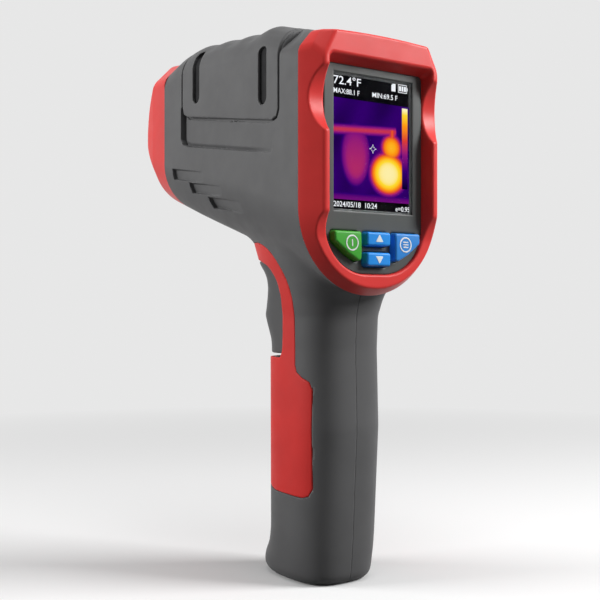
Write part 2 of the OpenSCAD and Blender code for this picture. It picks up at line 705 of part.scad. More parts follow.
// The pocket that the cover lies in: its outline and its floor
cover_gap = 1.1;
cover_skin = 0.1;
cover_sink = cover_t - cover_skin;
module cover_pocket() {
    difference() {
        rotate([90, 0, 90]) linear_extrude(120, center = true) offset(delta = cover_gap) polygon(COVER);
        head_solid(-cover_sink);
    }
}
module saddle_cover() {
    color([0.32, 0.32, 0.32]) difference() {
        intersection() {
            head_solid(cover_skin);
            side_prism(COVER);
        }
        head_solid(-cover_sink);
        cover_slots();
        flap_pocket();
        flap_bore(0);
    }
}
module port_flap() {
    color([0.27, 0.27, 0.27]) difference() {
        union() {
            intersection() {
                head_solid(cover_skin);
                box(-flap_half, flap_half, flap_y - flap_len, flap_y, flap_z - 1.3, rear_top + 60);
            }
            x_rod(flap_round, -flap_half, flap_half, flap_y, flap_z);
        }
        flap_bore(run_fit);
    }
}
module flap_pin() {
    color([0.70, 0.70, 0.72]) flap_bore(0);
}

// Ports
deck_low = deck_z - deck_t;
module port_board() {
    color([0.10, 0.38, 0.20]) box(-14, 14, port_y - board_t, port_y, deck_low - 20, deck_low);
}
module usb_socket() {
    color([0.72, 0.72, 0.74]) difference() {
        box(-4.4, 4.4, port_y, port_y + 3.2, deck_z - 7.6, deck_z - 0.2);
        box(-4.1, 4.1, port_y + 0.3, port_y + 2.9, deck_z - 6.6, deck_z);
    }
}
card_y = port_y - board_t - 1.2;
module card_socket() {
    color([0.70, 0.70, 0.72]) difference() {
        box(-7, 7, card_y - 1.2, card_y + 1.2, deck_low - 14, deck_low);
        box(-5.6, 5.6, card_y - 0.5, card_y + 0.5, deck_low - 11, deck_low + 1);
    }
}
module memory_card() {
    color([0.08, 0.08, 0.08]) box(-5.5, 5.5, card_y - 0.4, card_y + 0.4, deck_low - 11, deck_z - 0.8);
}

// Trigger: its front line as [height from the pin, y from the pin], and its two side outlines about the pin
TRIGGER_FRONT = [[-trigger_len, 5], [-43, 5.1], [-40, 5.6], [-36.6, 7.2], [-32, 9.5], [-28.7, 10.8],
    [-26, 10], [-21, 9], [-16, 8.5], [-12, 9.4], [-8.8, 11.5], [-5.3, 15.3], [-3.4, 16.6]];
TRIGGER_BODY = [[-18, 2 - trigger_len], [-18, -9], [-14, -4.6], [-3, -4.1], [3, -4.1], [7, -3.4],
    [30, -3.4], [30, -trigger_len], [-16, -trigger_len]];
TRIGGER_ROOT = [[-8, -10], [-8, 0], [-6, 3], [5, 3], [9, -3.4], [9, -10]];
module trigger_form(inset) {
    rear = -grip_rear - pivot_y;
    w = trigger_side - inset;
    loft([for (s = TRIGGER_FRONT) oval(rear, s[1] - inset, w, w, s[0], TRIGGER_POWER)]);
}
module trigger() {
    wall = 2.4;
    color([0.33, 0.33, 0.33]) translate([0, pivot_y, pivot_z]) difference() {
        union() {
            intersection() {
                trigger_form(0);
                side_prism(TRIGGER_BODY);
            }
            side_prism(TRIGGER_ROOT, trigger_w);
        }
        intersection() {
            trigger_form(wall);
            box(-40, 40, -60, 40, 3 - trigger_len, -7);
        }
        box(-shelf_half - 0.8, shelf_half + 0.8, -60, -8, -60, 10);
        box(-4.6, 4.6, -10, 5, -8, 10);
        x_rod(pin_r + run_fit, -40, 40, 0, 0);
    }
    color([0.33, 0.33, 0.33]) box(-1.5, 1.5, press_y, pivot_y + 8, switch_z - 3, switch_z + 3);
}
module trigger_pin() {
    color([0.70, 0.70, 0.72]) x_rod(pin_r, -pin_half, pin_half, pivot_y, pivot_z);
}
coil_r = pin_r + 1.2;
wire_r = 0.5;
coil_half = 3.5;
module trigger_spring() {
    color([0.72, 0.72, 0.74]) {
        difference() {
            x_rod(coil_r + wire_r, -coil_half, coil_half, pivot_y, pivot_z);
            x_rod(coil_r - wire_r, -coil_half - 1, coil_half + 1, pivot_y, pivot_z);
        }
        translate([coil_half - wire_r, pivot_y - coil_r, pivot_z - 9]) cylinder(r = wire_r, h = 9,
            $fn = 24);
        y_rod(wire_r, pivot_y - 8.5, pivot_y, wire_r - coil_half, pivot_z + coil_r, $fn = 24);
    }
}
trigger_board_y = -3;
switch_z = shelf_z + 14;
press_y = 7.4;
module trigger_board() {
    color([0.10, 0.38, 0.20]) box(-9, 9, trigger_board_y, trigger_board_y + board_t, shelf_z + 2,
        shelf_z + 26);
}
module trigger_switch() {
    front = trigger_board_y + board_t + 3.4;
    color([0.10, 0.10, 0.10]) {
        box(-6.4, 6.4, trigger_board_y + board_t, front, switch_z - 3.2, switch_z + 3.2);
        y_rod(1.2, front - 0.01, front + 1.2, 0, switch_z);
    }
}

// Battery
module battery_holder() {
    color([0.12, 0.12, 0.12]) difference() {
        translate([0, cell_y, holder_low]) cylinder(r = holder_r, h = holder_top - holder_low + 1.6);
        translate([0, cell_y, holder_low + 1.6]) cylinder(r = cell_r + 0.15,
            h = holder_top - holder_low - 1.6);
        box(-7.5, 7.5, cell_y + 4, cell_y + 20, holder_low + 4, holder_top - 2);
    }
}
module battery_cell() {
    color([0.15, 0.35, 0.60]) translate([0, cell_y, cell_low]) {
        cylinder(r = cell_r, h = cell_len);
        cylinder(r = 2.8, h = cell_len + 1.5);
    }
}
module battery_spring() {
    low = holder_low + 1.6;
    rise = cell_low - low;
    color([0.75, 0.75, 0.77]) for (i = [0:4]) translate([0, cell_y, low + rise * (i + 0.5) / 5])
        rotate_extrude() translate([6 - 0.65 * i, 0]) circle(r = rise / 10 - 0.02, $fn = 24);
}

// Fasteners
module case_screws() {
    color([0.35, 0.35, 0.36]) for (p = CASE_SCREWS) {
        x_rod(screw_r, -8, 8.01, p[0], p[1]);
        x_rod(2.4, 8, 9.9, p[0], p[1]);
    }
}
module faceplate_screws() {
    color([0.35, 0.35, 0.36]) for (p = PLATE_SCREWS) {
        y_rod(small_screw_r, plate_back - 0.01, seam_rear + 8, p[0], p[1]);
        y_rod(1.9, plate_back - 1.2, plate_back, p[0], p[1]);
    }
}
module panel_screws() {
    color([0.35, 0.35, 0.36]) for (p = PANEL_SCREWS) {
        y_rod(small_screw_r, seam_front - 8, seam_front + panel_wall + 0.01, p[0], p[1]);
        y_rod(1.9, seam_front + panel_wall, seam_front + panel_wall + 1.2, p[0], p[1]);
    }
}

left_shell();
right_shell();
grip_insert();
base_plate();
tripod_insert();
rear_bezel();
faceplate();
display_window();
display_module();
chassis_plate();
main_board();
processor_shield();
buzzer();
keypad_board();
power_key();
up_key();
down_key();
menu_key();
front_bezel();
front_panel();
lens_barrel();
barrel_gasket();
infrared_lens();
lens_retainer();
sensor_board();
infrared_sensor();
camera_board();
camera_module();
camera_window();
lamp();
lamp_window();
saddle_cover();
port_flap();
flap_pin();
port_board();
usb_socket();
card_socket();
memory_card();
trigger();
trigger_pin();
trigger_spring();
trigger_board();
trigger_switch();
battery_holder();
battery_cell();
battery_spring();
case_screws();
faceplate_screws();
panel_screws();
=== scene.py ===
"""Looks of the thermal imaging camera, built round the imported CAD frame.

Lengths are millimetres in the frame of the pack until a mesh is made. Floor, lights and camera are in metres.
The moulded pieces are distance functions (negative inside), meshed by contour().
"""
import json
import math

import bmesh
import bpy
import numpy as np
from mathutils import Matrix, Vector


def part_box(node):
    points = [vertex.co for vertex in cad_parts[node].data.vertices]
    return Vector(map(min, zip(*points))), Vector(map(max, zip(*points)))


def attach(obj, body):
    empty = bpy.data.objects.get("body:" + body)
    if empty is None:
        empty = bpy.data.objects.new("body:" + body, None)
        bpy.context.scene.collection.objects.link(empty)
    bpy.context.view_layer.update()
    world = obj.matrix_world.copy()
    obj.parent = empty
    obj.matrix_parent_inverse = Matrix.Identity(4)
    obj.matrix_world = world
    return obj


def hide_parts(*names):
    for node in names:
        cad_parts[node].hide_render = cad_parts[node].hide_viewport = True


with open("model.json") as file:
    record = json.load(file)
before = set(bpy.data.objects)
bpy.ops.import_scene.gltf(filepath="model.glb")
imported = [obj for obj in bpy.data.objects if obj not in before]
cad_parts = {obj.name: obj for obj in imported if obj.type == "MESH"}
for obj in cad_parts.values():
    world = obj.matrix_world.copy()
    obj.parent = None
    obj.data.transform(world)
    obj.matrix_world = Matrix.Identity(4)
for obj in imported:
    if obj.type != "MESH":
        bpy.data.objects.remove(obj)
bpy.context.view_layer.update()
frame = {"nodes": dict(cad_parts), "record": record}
MM = 0.001


def corners(node):
    """Lowest and highest corner of a CAD node, in millimetres."""
    low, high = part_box(node)
    return np.array(low) / MM, np.array(high) / MM


# ---------------------------------------------------------------- meshing of distance functions

BLOCK = 8
CHUNK = 300000
PULL_TO_MIDDLE = 0.03   # weight of a cell's mean point beside its planes
EDGE_SPREAD = 0.985     # a shorter mean normal than this marks a vertex on an edge
TETRA = np.array([(1, -1, -1), (-1, -1, 1), (-1, 1, -1), (1, 1, 1)], float)


def evaluate(f, points):
    """Distance at every point, in chunks that keep memory low."""
    out = np.empty(len(points))
    for i in range(0, len(points), CHUNK):
        p = points[i:i + CHUNK]
        out[i:i + CHUNK] = f(p[:, 0], p[:, 1], p[:, 2])
    return out


def gradient(f, points, h=0.03):
    """Unit gradient of f, from four evaluations at the corners of a tetrahedron."""
    g = sum(k * evaluate(f, points + h * k)[:, None] for k in TETRA)
    return g / np.maximum(np.linalg.norm(g, axis=1), 1e-9)[:, None]


def sample(f, low, shape, step):
    """Distances on a grid. Blocks far from the surface only get a sign."""
    blocks = shape // BLOCK
    index = np.stack(np.meshgrid(*[np.arange(n) for n in blocks], indexing="ij"), -1).reshape(-1, 3)
    centre = evaluate(f, low + step * (index + 0.5) * BLOCK)
    near = np.abs(centre) < step * BLOCK * 1.15
    values = np.repeat(np.repeat(np.repeat(centre.reshape(blocks), BLOCK, 0), BLOCK, 1), BLOCK, 2)
    offset = np.stack(np.meshgrid(*[np.arange(BLOCK)] * 3, indexing="ij"), -1).reshape(-1, 3)
    cells = (index[near][:, None, :] * BLOCK + offset[None]).reshape(-1, 3)
    values[tuple(cells.T)] = evaluate(f, low + step * cells)
    return values


def crossings(f, values, low, step):
    """Where grid edges cross the surface: axis, grid index, inside-first flag and point of each."""
    found = []
    for axis in range(3):
        a = np.moveaxis(values, axis, 0)
        flips = np.moveaxis((a[:-1] < 0) != (a[1:] < 0), 0, axis)
        index = np.argwhere(flips)
        ahead = index + np.eye(3, dtype=int)[axis]
        v0, v1 = values[tuple(index.T)], values[tuple(ahead.T)]
        t = v0 / (v0 - v1)
        direction = np.eye(3)[axis] * step
        middle = evaluate(f, low + step * index + t[:, None] * direction)
        same = (middle < 0) == (v0 < 0)
        further = t + (1 - t) * middle / np.where(same, middle - v1, 1)
        nearer = t * v0 / np.where(same, 1, v0 - middle)
        t = np.where(same, further, nearer)
        found.append((axis, index, v0 < 0, low + step * index + t[:, None] * direction))
    return found


def contour(f, low, high, step):
    """Dual contouring: vertices, quads and one normal for each corner of each quad."""
    low, high = np.array(low, float) - 1.5 * step, np.array(high, float) + 1.5 * step
    shape = (np.ceil(np.ceil((high - low) / step + 1) / BLOCK) * BLOCK).astype(int)
    cell_of, quads, points = [], [], []
    for axis, index, inside, crossed in crossings(f, sample(f, low, shape, step), low, step):
        u, v = [np.eye(3, dtype=int)[(axis + k) % 3] for k in (1, 2)]
        around = [np.ravel_multi_index((index - du * u - dv * v).T, shape)
                  for du, dv in ((0, 0), (1, 0), (1, 1), (0, 1))]
        cell_of.append(np.stack(around, 1))
        quads.append(np.where(inside[:, None], cell_of[-1], cell_of[-1][:, ::-1]))
        points.append(crossed)
    cell_of, quads, points = (np.concatenate(v) for v in (cell_of, quads, points))
    normals = gradient(f, points)
    cells, slots = np.unique(cell_of, return_inverse=True)
    slots = slots.reshape(cell_of.shape)
    quads = np.searchsorted(cells, quads)

    count = np.bincount(slots.ravel(), minlength=len(cells))

    def gather(per_point):
        """Sums of a value over the points round each cell."""
        return np.bincount(slots.ravel(), np.repeat(per_point, 4), minlength=len(cells))

    plane = (normals * points).sum(1)
    mass, mean, right = (np.stack([gather(column) for column in v.T], 1)
                         for v in (points, normals, normals * plane[:, None]))
    mass, mean = mass / count[:, None], mean / count[:, None]
    matrix = np.empty((len(cells), 3, 3))
    for i in range(3):
        for j in range(3):
            matrix[:, i, j] = gather(normals[:, i] * normals[:, j])
    right -= np.einsum("nij,nj->ni", matrix, mass)
    matrix += PULL_TO_MIDDLE * np.eye(3) * count[:, None, None]
    vertices = mass + np.linalg.solve(matrix, right[:, :, None])[:, :, 0]
    corner = low + step * np.stack(np.unravel_index(cells, shape), 1)
    vertices = np.clip(vertices, corner, corner + step)
    vertices -= evaluate(f, vertices)[:, None] * gradient(f, vertices)

    # Normals: from the function at smooth vertices, and inside each face at vertices on an edge
    smooth = gradient(f, vertices)[quads]
    on_edge = np.linalg.norm(mean, axis=1) < EDGE_SPREAD
    edgy = on_edge[quads]
    where = vertices[quads] * 0.75 + vertices[quads].mean(1, keepdims=True) * 0.25
    smooth[edgy] = gradient(f, where[edgy])
    return vertices, quads, smooth


def linked(name, data):
    obj = bpy.data.objects.new(name, data)
    bpy.context.scene.collection.objects.link(obj)
    return obj


def mesh_object(name, vertices, faces, normals=None, mirror=False):
    """A mesh object in metres. normals has one vector for each corner of each face."""
    vertices = np.array(vertices, float)
    if mirror:
        vertices = vertices * (-1, 1, 1)
        faces = faces[:, ::-1]
        normals = normals[:, ::-1] * (-1, 1, 1)
    mesh = bpy.data.meshes.new(name)
    mesh.from_pydata((vertices * MM).tolist(), [], faces.tolist())
    mesh.validate()
    mesh.shade_smooth()
    if normals is not None and len(mesh.loops) == normals.shape[0] * normals.shape[1]:
        mesh.normals_split_custom_set(normals.reshape(-1, 3).tolist())
    return linked(name, mesh)


def rounded(profile, radius):
    """Corners of a (radius, y) outline replaced by short arcs; the outline's ends on the axis stay."""
    out = []
    for i, point in enumerate(profile):
        before, after = profile[i - 1], profile[(i + 1) % len(profile)]
        a, p, b = (np.array(v, float) for v in (before, point, after))
        la, lb = np.linalg.norm(a - p), np.linalg.norm(b - p)
        reach = min(radius, 0.4 * la, 0.4 * lb)
        if p[0] < 1e-6 or reach < 1e-3:
            out.append(tuple(p))
            continue
        start, end = p + (a - p) / la * reach, p + (b - p) / lb * reach
        for t in (0, 0.25, 0.5, 0.75, 1):
            out.append(tuple((1 - t) ** 2 * start + 2 * t * (1 - t) * p + t * t * end))
    return out


def turned(name, profile, centre, axis, radius=0.3, segments=128):
    """A turned piece: a closed (radius, along) outline revolved about Y or Z through centre."""
    outline = rounded(profile, radius)
    angle = np.arange(segments) * 2 * math.pi / segments
    r, a = np.array(outline).T
    cos, sin = np.cos(angle)[:, None] * r, np.sin(angle)[:, None] * r
    along_axis = np.broadcast_to(a, cos.shape)
    order = (cos, along_axis, -sin) if axis == "y" else (cos, sin, along_axis)
    points = np.stack(order, -1).reshape(-1, 3) + np.array(centre)
    n = len(outline)
    i, j = np.meshgrid(np.arange(segments), np.arange(n), indexing="ij")
    i2, j2 = (i + 1) % segments, (j + 1) % n
    faces = np.stack([i * n + j, i * n + j2, i2 * n + j2, i2 * n + j], -1).reshape(-1, 4)
    obj = mesh_object(name, points, faces)
    cleaned = bmesh.new()
    cleaned.from_mesh(obj.data)
    bmesh.ops.remove_doubles(cleaned, verts=cleaned.verts, dist=1e-7)
    bmesh.ops.recalc_face_normals(cleaned, faces=cleaned.faces)
    cleaned.to_mesh(obj.data)
    cleaned.free()
    obj.data.shade_smooth()
    obj.data.set_sharp_from_angle(angle=math.radians(35))
    return obj


# ---------------------------------------------------------------- distance functions

def meet(a, b, r=0.4):
    """Intersection, with its edge rounded to radius r."""
    return np.minimum(np.maximum(a, b), -r) + np.hypot(np.maximum(a + r, 0), np.maximum(b + r, 0))


def join(a, b, r=0.4):
    return -meet(-a, -b, r)


def cut(a, b, r=0.4):
    """a without b, with a rounded rim."""
    return meet(a, -b, r)


def ramp(v, *pairs):
    """Straight lines through (place, value) pairs."""
    return np.interp(v, [p[0] for p in pairs], [p[1] for p in pairs])


def block(x, y, z, low, high, r=0.0):
    """Box with rounded edges."""
    d = [np.abs(v - (a + b) / 2) - (b - a) / 2 + r for v, a, b in zip((x, y, z), low, high)]
    outside = np.sqrt(sum(np.maximum(v, 0) ** 2 for v in d))
    return outside + np.minimum(np.maximum(np.maximum(d[0], d[1]), d[2]), 0) - r


def slab(v, low, high):
    return np.abs(v - (low + high) / 2) - (high - low) / 2


def polygon(p, q, points, r=0.0):
    """Distance in a plane to a closed outline grown by r, which rounds its corners."""
    best = np.full(p.shape, 1e9)
    inside = np.zeros(p.shape, bool)
    for (ax, ay), (bx, by) in zip(points, points[1:] + points[:1]):
        ex, ey = bx - ax, by - ay
        t = np.clip(((p - ax) * ex + (q - ay) * ey) / (ex * ex + ey * ey), 0, 1)
        best = np.minimum(best, (p - ax - t * ex) ** 2 + (q - ay - t * ey) ** 2)
        if ey:
            inside ^= ((ay > q) != (by > q)) & (p < ax + ex * (q - ay) / ey)
    return np.where(inside, -np.sqrt(best), np.sqrt(best)) - r


def stadium(p, q, low, high, half):
    """A slot: straight in q from low to high, round ends of radius half."""
    return np.hypot(p, q - np.clip(q, low + half, high - half)) - half


def rod(a, b, r):
    return np.hypot(a, b) - r


def line(p, q, p0, q0, p1, q1):
    """Signed distance to a straight line, positive on its left; ends may be arrays."""
    dp, dq = p1 - p0, q1 - q0
    return ((p - p0) * -dq + (q - q0) * dp) / np.hypot(dp, dq)


def trough(x, z, w, low, r):
    """Flat sides at half width w and round lower corners, open upwards."""
    over_x, over_z = np.abs(x) - (w - r), (low + r) - z
    return np.where((over_x > 0) & (over_z > 0), np.hypot(over_x, over_z) - r, np.maximum(over_x, over_z) - r)


def section(x, z, w, low, top, r, drop, run, edge):
    """Cross-section of the head: flat sides, round lower corners of radius r, and upper corners slanted
    by drop down the sides and run along the roof."""
    ax = np.abs(x)
    roof_line = z - top - CROWN * (1 - (ax / w) ** 2)
    slant = line(ax, z, w - run, top, w, top - drop)
    return meet(meet(trough(x, z, w, low, r), slant, edge), roof_line, edge)


# ---------------------------------------------------------------- main sizes, from the frame

rear_low, rear_high = corners("rear_bezel")
front_low, front_high = corners("front_bezel")
cover_low, cover_high = corners("saddle_cover")
SEAM_REAR = rear_high[1]
SEAM_FRONT = front_low[1]
HALF_W = rear_high[0]
FRONT_HALF_W = front_high[0]
HEAD_LOW = rear_low[2]
FRONT_LOW = HEAD_LOW + 44.5
CROWN = 1.2
REAR_TOP = 240.0
FRONT_TOP = REAR_TOP + 8

# The head along Y: distance from the rear seam, height of the roof over the seam's, lift of the underside
HEAD_LINE = np.array([(0, 0, 0), (29, 8.6, 0.7), (42, 8.1, 1.1), (64, 10.1, 1.3), (91, 12.4, 0.4),
                      (106, 11.2, 0), (118, 8, 0)])
HEAD_EDGE = 3.5
HEAD_WALL = 4.4


def softened(fine, places, values, widths):
    """Straight lines through (place, value) pairs, rounded by running means that keep both ends."""
    curve = np.interp(fine, places, values)
    for width in widths:
        padded = np.pad(curve, width // 2, mode="reflect", reflect_type="odd")
        curve = np.convolve(padded, np.ones(width) / width, "valid")
    return curve


FINE_Y = np.arange(0, SEAM_FRONT - SEAM_REAR + 0.1, 0.5)
ROOF, BELLY = (softened(FINE_Y, HEAD_LINE[:, 0], HEAD_LINE[:, i], (11, 11)) for i in (1, 2))


def along(y, rear, front):
    return rear + (front - rear) * np.clip((y - SEAM_REAR) / (SEAM_FRONT - SEAM_REAR), -0.1, 1.1)


def roof(y):
    return REAR_TOP + np.interp(y - SEAM_REAR, FINE_Y, ROOF)


def head(x, y, z, grow=0.0, ends=0.0):
    """The head between its seams, grown sideways and upwards by grow."""
    w = along(y, HALF_W, FRONT_HALF_W) + grow
    low = along(y, HEAD_LOW, FRONT_LOW) + np.interp(y - SEAM_REAR, FINE_Y, BELLY) - grow
    top = roof(y) + grow
    r = along(y, HALF_W - 0.5, 22.5) + grow
    return np.maximum(section(x, z, w, low, top, r, along(y, 8.2, 9), along(y, 7, 9), HEAD_EDGE),
                      slab(y, SEAM_REAR - ends, SEAM_FRONT + ends))


# Handle stations along Z: height, rear y, front y, half width in the middle and at the front
NECK = HEAD_LOW - 24
HANDLE = np.array([
    (0.0, -18.2, 23.9, 16.8, 16.8), (1.3, -20.6, 26.5, 19.0, 19.0), (4.2, -21.8, 28.5, 20.2, 20.2),
    (9, -22.3, 27.5, 20.5, 20.5), (15, -22.9, 23.6, 20.6, 20.6), (22, -23.4, 22.3, 20.7, 20.7),
    (70, -26.2, 22.3, 21.2, 21.2), (NECK, -25.2, 22.6, 21.0, 21.0), (NECK + 15, -25.8, 23.5, 21.5, 21.0),
    (NECK + 23, -28.0, 24.5, 23.8, 20.6), (NECK + 31, -32.2, 27.1, 27.3, 20.4),
    (NECK + 40, -33.6, 33.3, 31.5, 20.6), (NECK + 50, -33.8, 38.8, 34.5, 20.2),
    (NECK + 60, -33.8, 47.3, 36.0, 23.2)])
OVAL_POWER = 2.9
FINE_Z = np.arange(0, NECK + 60.1, 0.5)
HANDLE_CURVES = [softened(FINE_Z, HANDLE[:, 0], HANDLE[:, i], (5, 5, 5)) for i in (1, 2, 3, 4)]


def oval(x, y, rear, front, w, tip, power):
    """Distance to a superellipse in plan whose half width goes from w at the rear to tip at the front."""
    half = (front - rear) / 2
    hx = w + (tip - w) * np.clip((y - rear) / (2 * half), 0, 1)
    u, v = np.abs(x) / hx + 1e-6, np.abs(y - rear - half) / half + 1e-6
    level = (u ** power + v ** power) ** (1 / power)
    slope = np.hypot((u / level) ** (power - 1) / hx, (v / level) ** (power - 1) / half)
    return (level - 1) / slope


def handle(x, y, z, inset=0.0, low=0.0):
    rear, front, w, tip = (np.interp(z, FINE_Z, c) for c in HANDLE_CURVES)
    f = oval(x, y, rear + inset, front - inset, w - inset, tip - inset, OVAL_POWER)
    return meet(np.maximum(f, z - HANDLE[-1, 0]), low - z, 0.8)


# Trigger opening and the band of the grip insert, seen from the side as (y, z)
BAND_TOP = HEAD_LOW + 25.5
STEP_Z = HEAD_LOW - 37
GRIP_REAR, GRIP_FRONT = -26.2, 22.3
INSERT_LOW = 40.5
INSERT = ([(70, INSERT_LOW + 3.5), (GRIP_FRONT, INSERT_LOW + 2.5), (8, INSERT_LOW - 0.5),
           (-12, INSERT_LOW - 1.2), (-15.4, INSERT_LOW - 0.2), (-17.4, INSERT_LOW + 3.2), (-17.8, STEP_Z - 4.5),
           (-16.4, STEP_Z - 1.2), (-12.2, STEP_Z + 0.8), (-9, STEP_Z + 3), (-8, STEP_Z + 6), (-8, HEAD_LOW - 2)]
          + [(22 - 30 * math.cos(math.radians(a)), HEAD_LOW - 2 + 27 * math.sin(math.radians(a)))
             for a in range(10, 91, 10)] + [(70, BAND_TOP)])
PIVOT = (17.0, HEAD_LOW + 20)
trigger_low, trigger_high = corners("trigger")
TRIGGER_LEN = PIVOT[1] - trigger_low[2]


def from_pivot(points):
    return [(PIVOT[0] + p, PIVOT[1] + q) for p, q in points]


WINDOW = from_pivot([(45, -3), (6, -3), (-1.6, -4.7), (-6, -6), (-9.6, -8.2), (-12.5, -11.3), (-14.3, -14.6),
                     (-15.4, -19.5), (-15.8, -29), (-15.2, -43), (-14.7, 1 - TRIGGER_LEN),
                     (-13, -TRIGGER_LEN - 1.5), (45, -TRIGGER_LEN - 1.5)])
INSERT_T = 1.6
SET_GAP = 0.1


def outer_body(x, y, z):
    """Head and handle in one skin."""
    return join(head(x, y, z), handle(x, y, z), 2.5)


# Reliefs on both sides of the head, seen from the side as (y, z)
COVER_REAR, COVER_FRONT = cover_low[1], cover_high[1]
COVER_SKIN, COVER_SINK, COVER_GAP = 0.1, 1.3, 1.1
COVER_LOW, COVER_CLIMB = REAR_TOP - 36.1, 13.6
COVER = [(COVER_REAR, REAR_TOP + 60), (COVER_REAR, COVER_LOW + 5), (COVER_REAR + 1.3, COVER_LOW + 2),
         (COVER_REAR + 5, COVER_LOW + 0.8), (COVER_FRONT - 5, COVER_LOW + COVER_CLIMB - 0.8),
         (COVER_FRONT - 1.3, COVER_LOW + COVER_CLIMB + 1), (COVER_FRONT, COVER_LOW + COVER_CLIMB + 5),
         (COVER_FRONT, REAR_TOP + 60)]
RECESS = [(66.6, 222), (66.6, 206.4), (64.6, 203.6), (59, 201.9), (20.7, 195.8), (-14.5, 190.2), (-18, 202),
          (-12, 212), (40, 223), (63, 228)]
GROOVE_W, GROOVE_EDGE = 2.3, 1.8
WEDGES = ([(75.5, 193.3), (41, 188.1), (38, 181.9), (54.5, 184.3), (75.1, 187.5), (75.6, 190.5)],
          [(59.5, 184.9), (42.6, 182.5), (26.5, 180), (24, 174.5), (50.5, 178.2), (58.7, 179.3),
           (59.5, 182.1)],
          [(43.5, 176.6), (26.3, 174.2), (12, 171.9), (10, 165.2), (27.4, 168.6), (42.3, 170.8),
           (43.3, 173.7)])
WEDGE_DEPTH, WEDGE_RUN = 2.0, 31.0
flap_low, flap_high = corners("port_flap")
FLAP_HALF = flap_high[0]
MOVE_GAP = 0.35
SLOT_HALF = 3.2
SLOTS = ((COVER_REAR + 12.1, REAR_TOP - 14.8), (COVER_FRONT - 13.4, REAR_TOP - 5.1))
SLOT_RISE = 12.7
SLOT_WELL = 2.2


def flap_pocket(x, y, z):
    reach = slab(y, flap_low[1] - MOVE_GAP, flap_high[1] + MOVE_GAP)
    return np.maximum(np.maximum(np.abs(x) - FLAP_HALF - MOVE_GAP, reach), REAR_TOP + 6 - z)


def cover_slots(y, z):
    return np.minimum(*[stadium(y - sy, z, sz - SLOT_RISE, sz + SLOT_RISE, SLOT_HALF) for sy, sz in SLOTS])


def eased(d, width):
    """0 outside an outline, rising smoothly to 1 within width inside it."""
    t = np.clip(-d / width, 0, 1)
    return t * t * (3 - 2 * t)


def relief(y, z):
    """Depth pressed into the sides: a recess round the cover with a groove along its border, and three wedges
    that run out to the rear."""
    border = polygon(y, z, RECESS)
    groove = ramp(y, (-16, 0), (4, 0.9)) * eased(-border - GROOVE_W, GROOVE_EDGE)
    depth = (ramp(y, (-16, 0), (40, 1.1), (67, 2.2)) + groove) * eased(border, 0.6)
    for points in WEDGES:
        front = points[0][0]
        fall = ramp(y, (front - WEDGE_RUN, 0), (front - 4, WEDGE_DEPTH), (front, WEDGE_DEPTH))
        depth = depth + fall * eased(polygon(y, z, points), 0.8)
    return depth


def rear_shoulder(x, y, z):
    """What a wider slanted corner takes off between the display bezel and the cover."""
    lean = ramp(y, (SEAM_REAR, 7), (SEAM_REAR + 5, 8.5), (COVER_REAR, 14))
    slant = line(np.abs(x), z, HALF_W - lean, roof(y) + 0.5, HALF_W, REAR_TOP - 7.4)
    return np.maximum(-slant, y - COVER_REAR + 0.9)


def housing(x, y, z):
    """Both halves of the housing together."""
    body = outer_body(x, y, z)
    depth = relief(y, z)
    f = body + depth
    f = cut(f, rear_shoulder(x, y, z), 0.8)
    pocket_floor = body + np.maximum(COVER_SINK, depth + 0.9)
    f = cut(f, np.maximum(polygon(y, z, COVER) - COVER_GAP, -pocket_floor), 0.3)
    # hollow inside
    inner = join(head(x, y, z, -HEAD_WALL, 1), handle(x, y, z, 3.2, 9), 2)
    f = np.maximum(f, -inner)
    # seat of the grip insert, trigger window, flap pocket, slot wells
    skin = handle(x, y, z, INSERT_T, 15)
    f = cut(f, np.maximum(polygon(y, z, INSERT) - SET_GAP, -skin - SET_GAP), 0.25)
    f = cut(f, polygon(y, z, WINDOW), 0.3)
    f = cut(f, flap_pocket(x, y, z), 0.2)
    return np.maximum(f, -np.maximum(cover_slots(y, z) - 0.4, -(body + SLOT_WELL)))


CASE_SCREWS = ((12.6, 36), (-12, HEAD_LOW - 34), (SEAM_FRONT - 24, FRONT_LOW + 7),
               (SEAM_FRONT - 13.5, REAR_TOP - 1), (SEAM_REAR + 21, REAR_TOP - 2),
               (SEAM_REAR + 17, HEAD_LOW + 3))


def left_half(x, y, z):
    return meet(housing(x, y, z), x + 0.05, 0.15)


def right_half(x, y, z):
    """Mirror of the left half, with wells for the screw heads."""
    f = left_half(x, y, z)
    for sy, sz in CASE_SCREWS:
        well = np.maximum(rod(y - sy, z - sz, 2.7), x + 9.9)
        f = cut(f, well, 0.25)
    return f


def grip_insert(x, y, z):
    f = meet(outer_body(x, y, z), polygon(y, z, INSERT) + 0.05, 0.4)
    f = np.maximum(f, -handle(x, y, z, INSERT_T, 15))
    return cut(f, polygon(y, z, WINDOW), 0.35)


# ---------------------------------------------------------------- cover and flap

RIPPLE_PITCH, RIPPLE_DEPTH, RIPPLE_CREST = 19.6, 0.7, -3.0


def ripples(x, y):
    """Shallow waves across the roof, none at the sides."""
    wave = 0.5 - 0.5 * np.cos(2 * math.pi * (y - RIPPLE_CREST) / RIPPLE_PITCH)
    inner = np.clip((COVER_FRONT - 6 - y) / 6, 0, 1)
    return RIPPLE_DEPTH * wave * inner * np.clip((36 - np.abs(x)) / 6, 0, 1)


def cover_skin(x, y, z):
    return head(x, y, z, COVER_SKIN, 5) + ripples(x, y)


def saddle_cover(x, y, z):
    f = meet(cover_skin(x, y, z), polygon(y, z, COVER), 0.45)
    f = np.maximum(f, -head(x, y, z, 0.02 - COVER_SINK, 5))
    f = cut(f, cover_slots(y, z), 0.35)
    return cut(f, flap_pocket(x, y, z), 0.25)


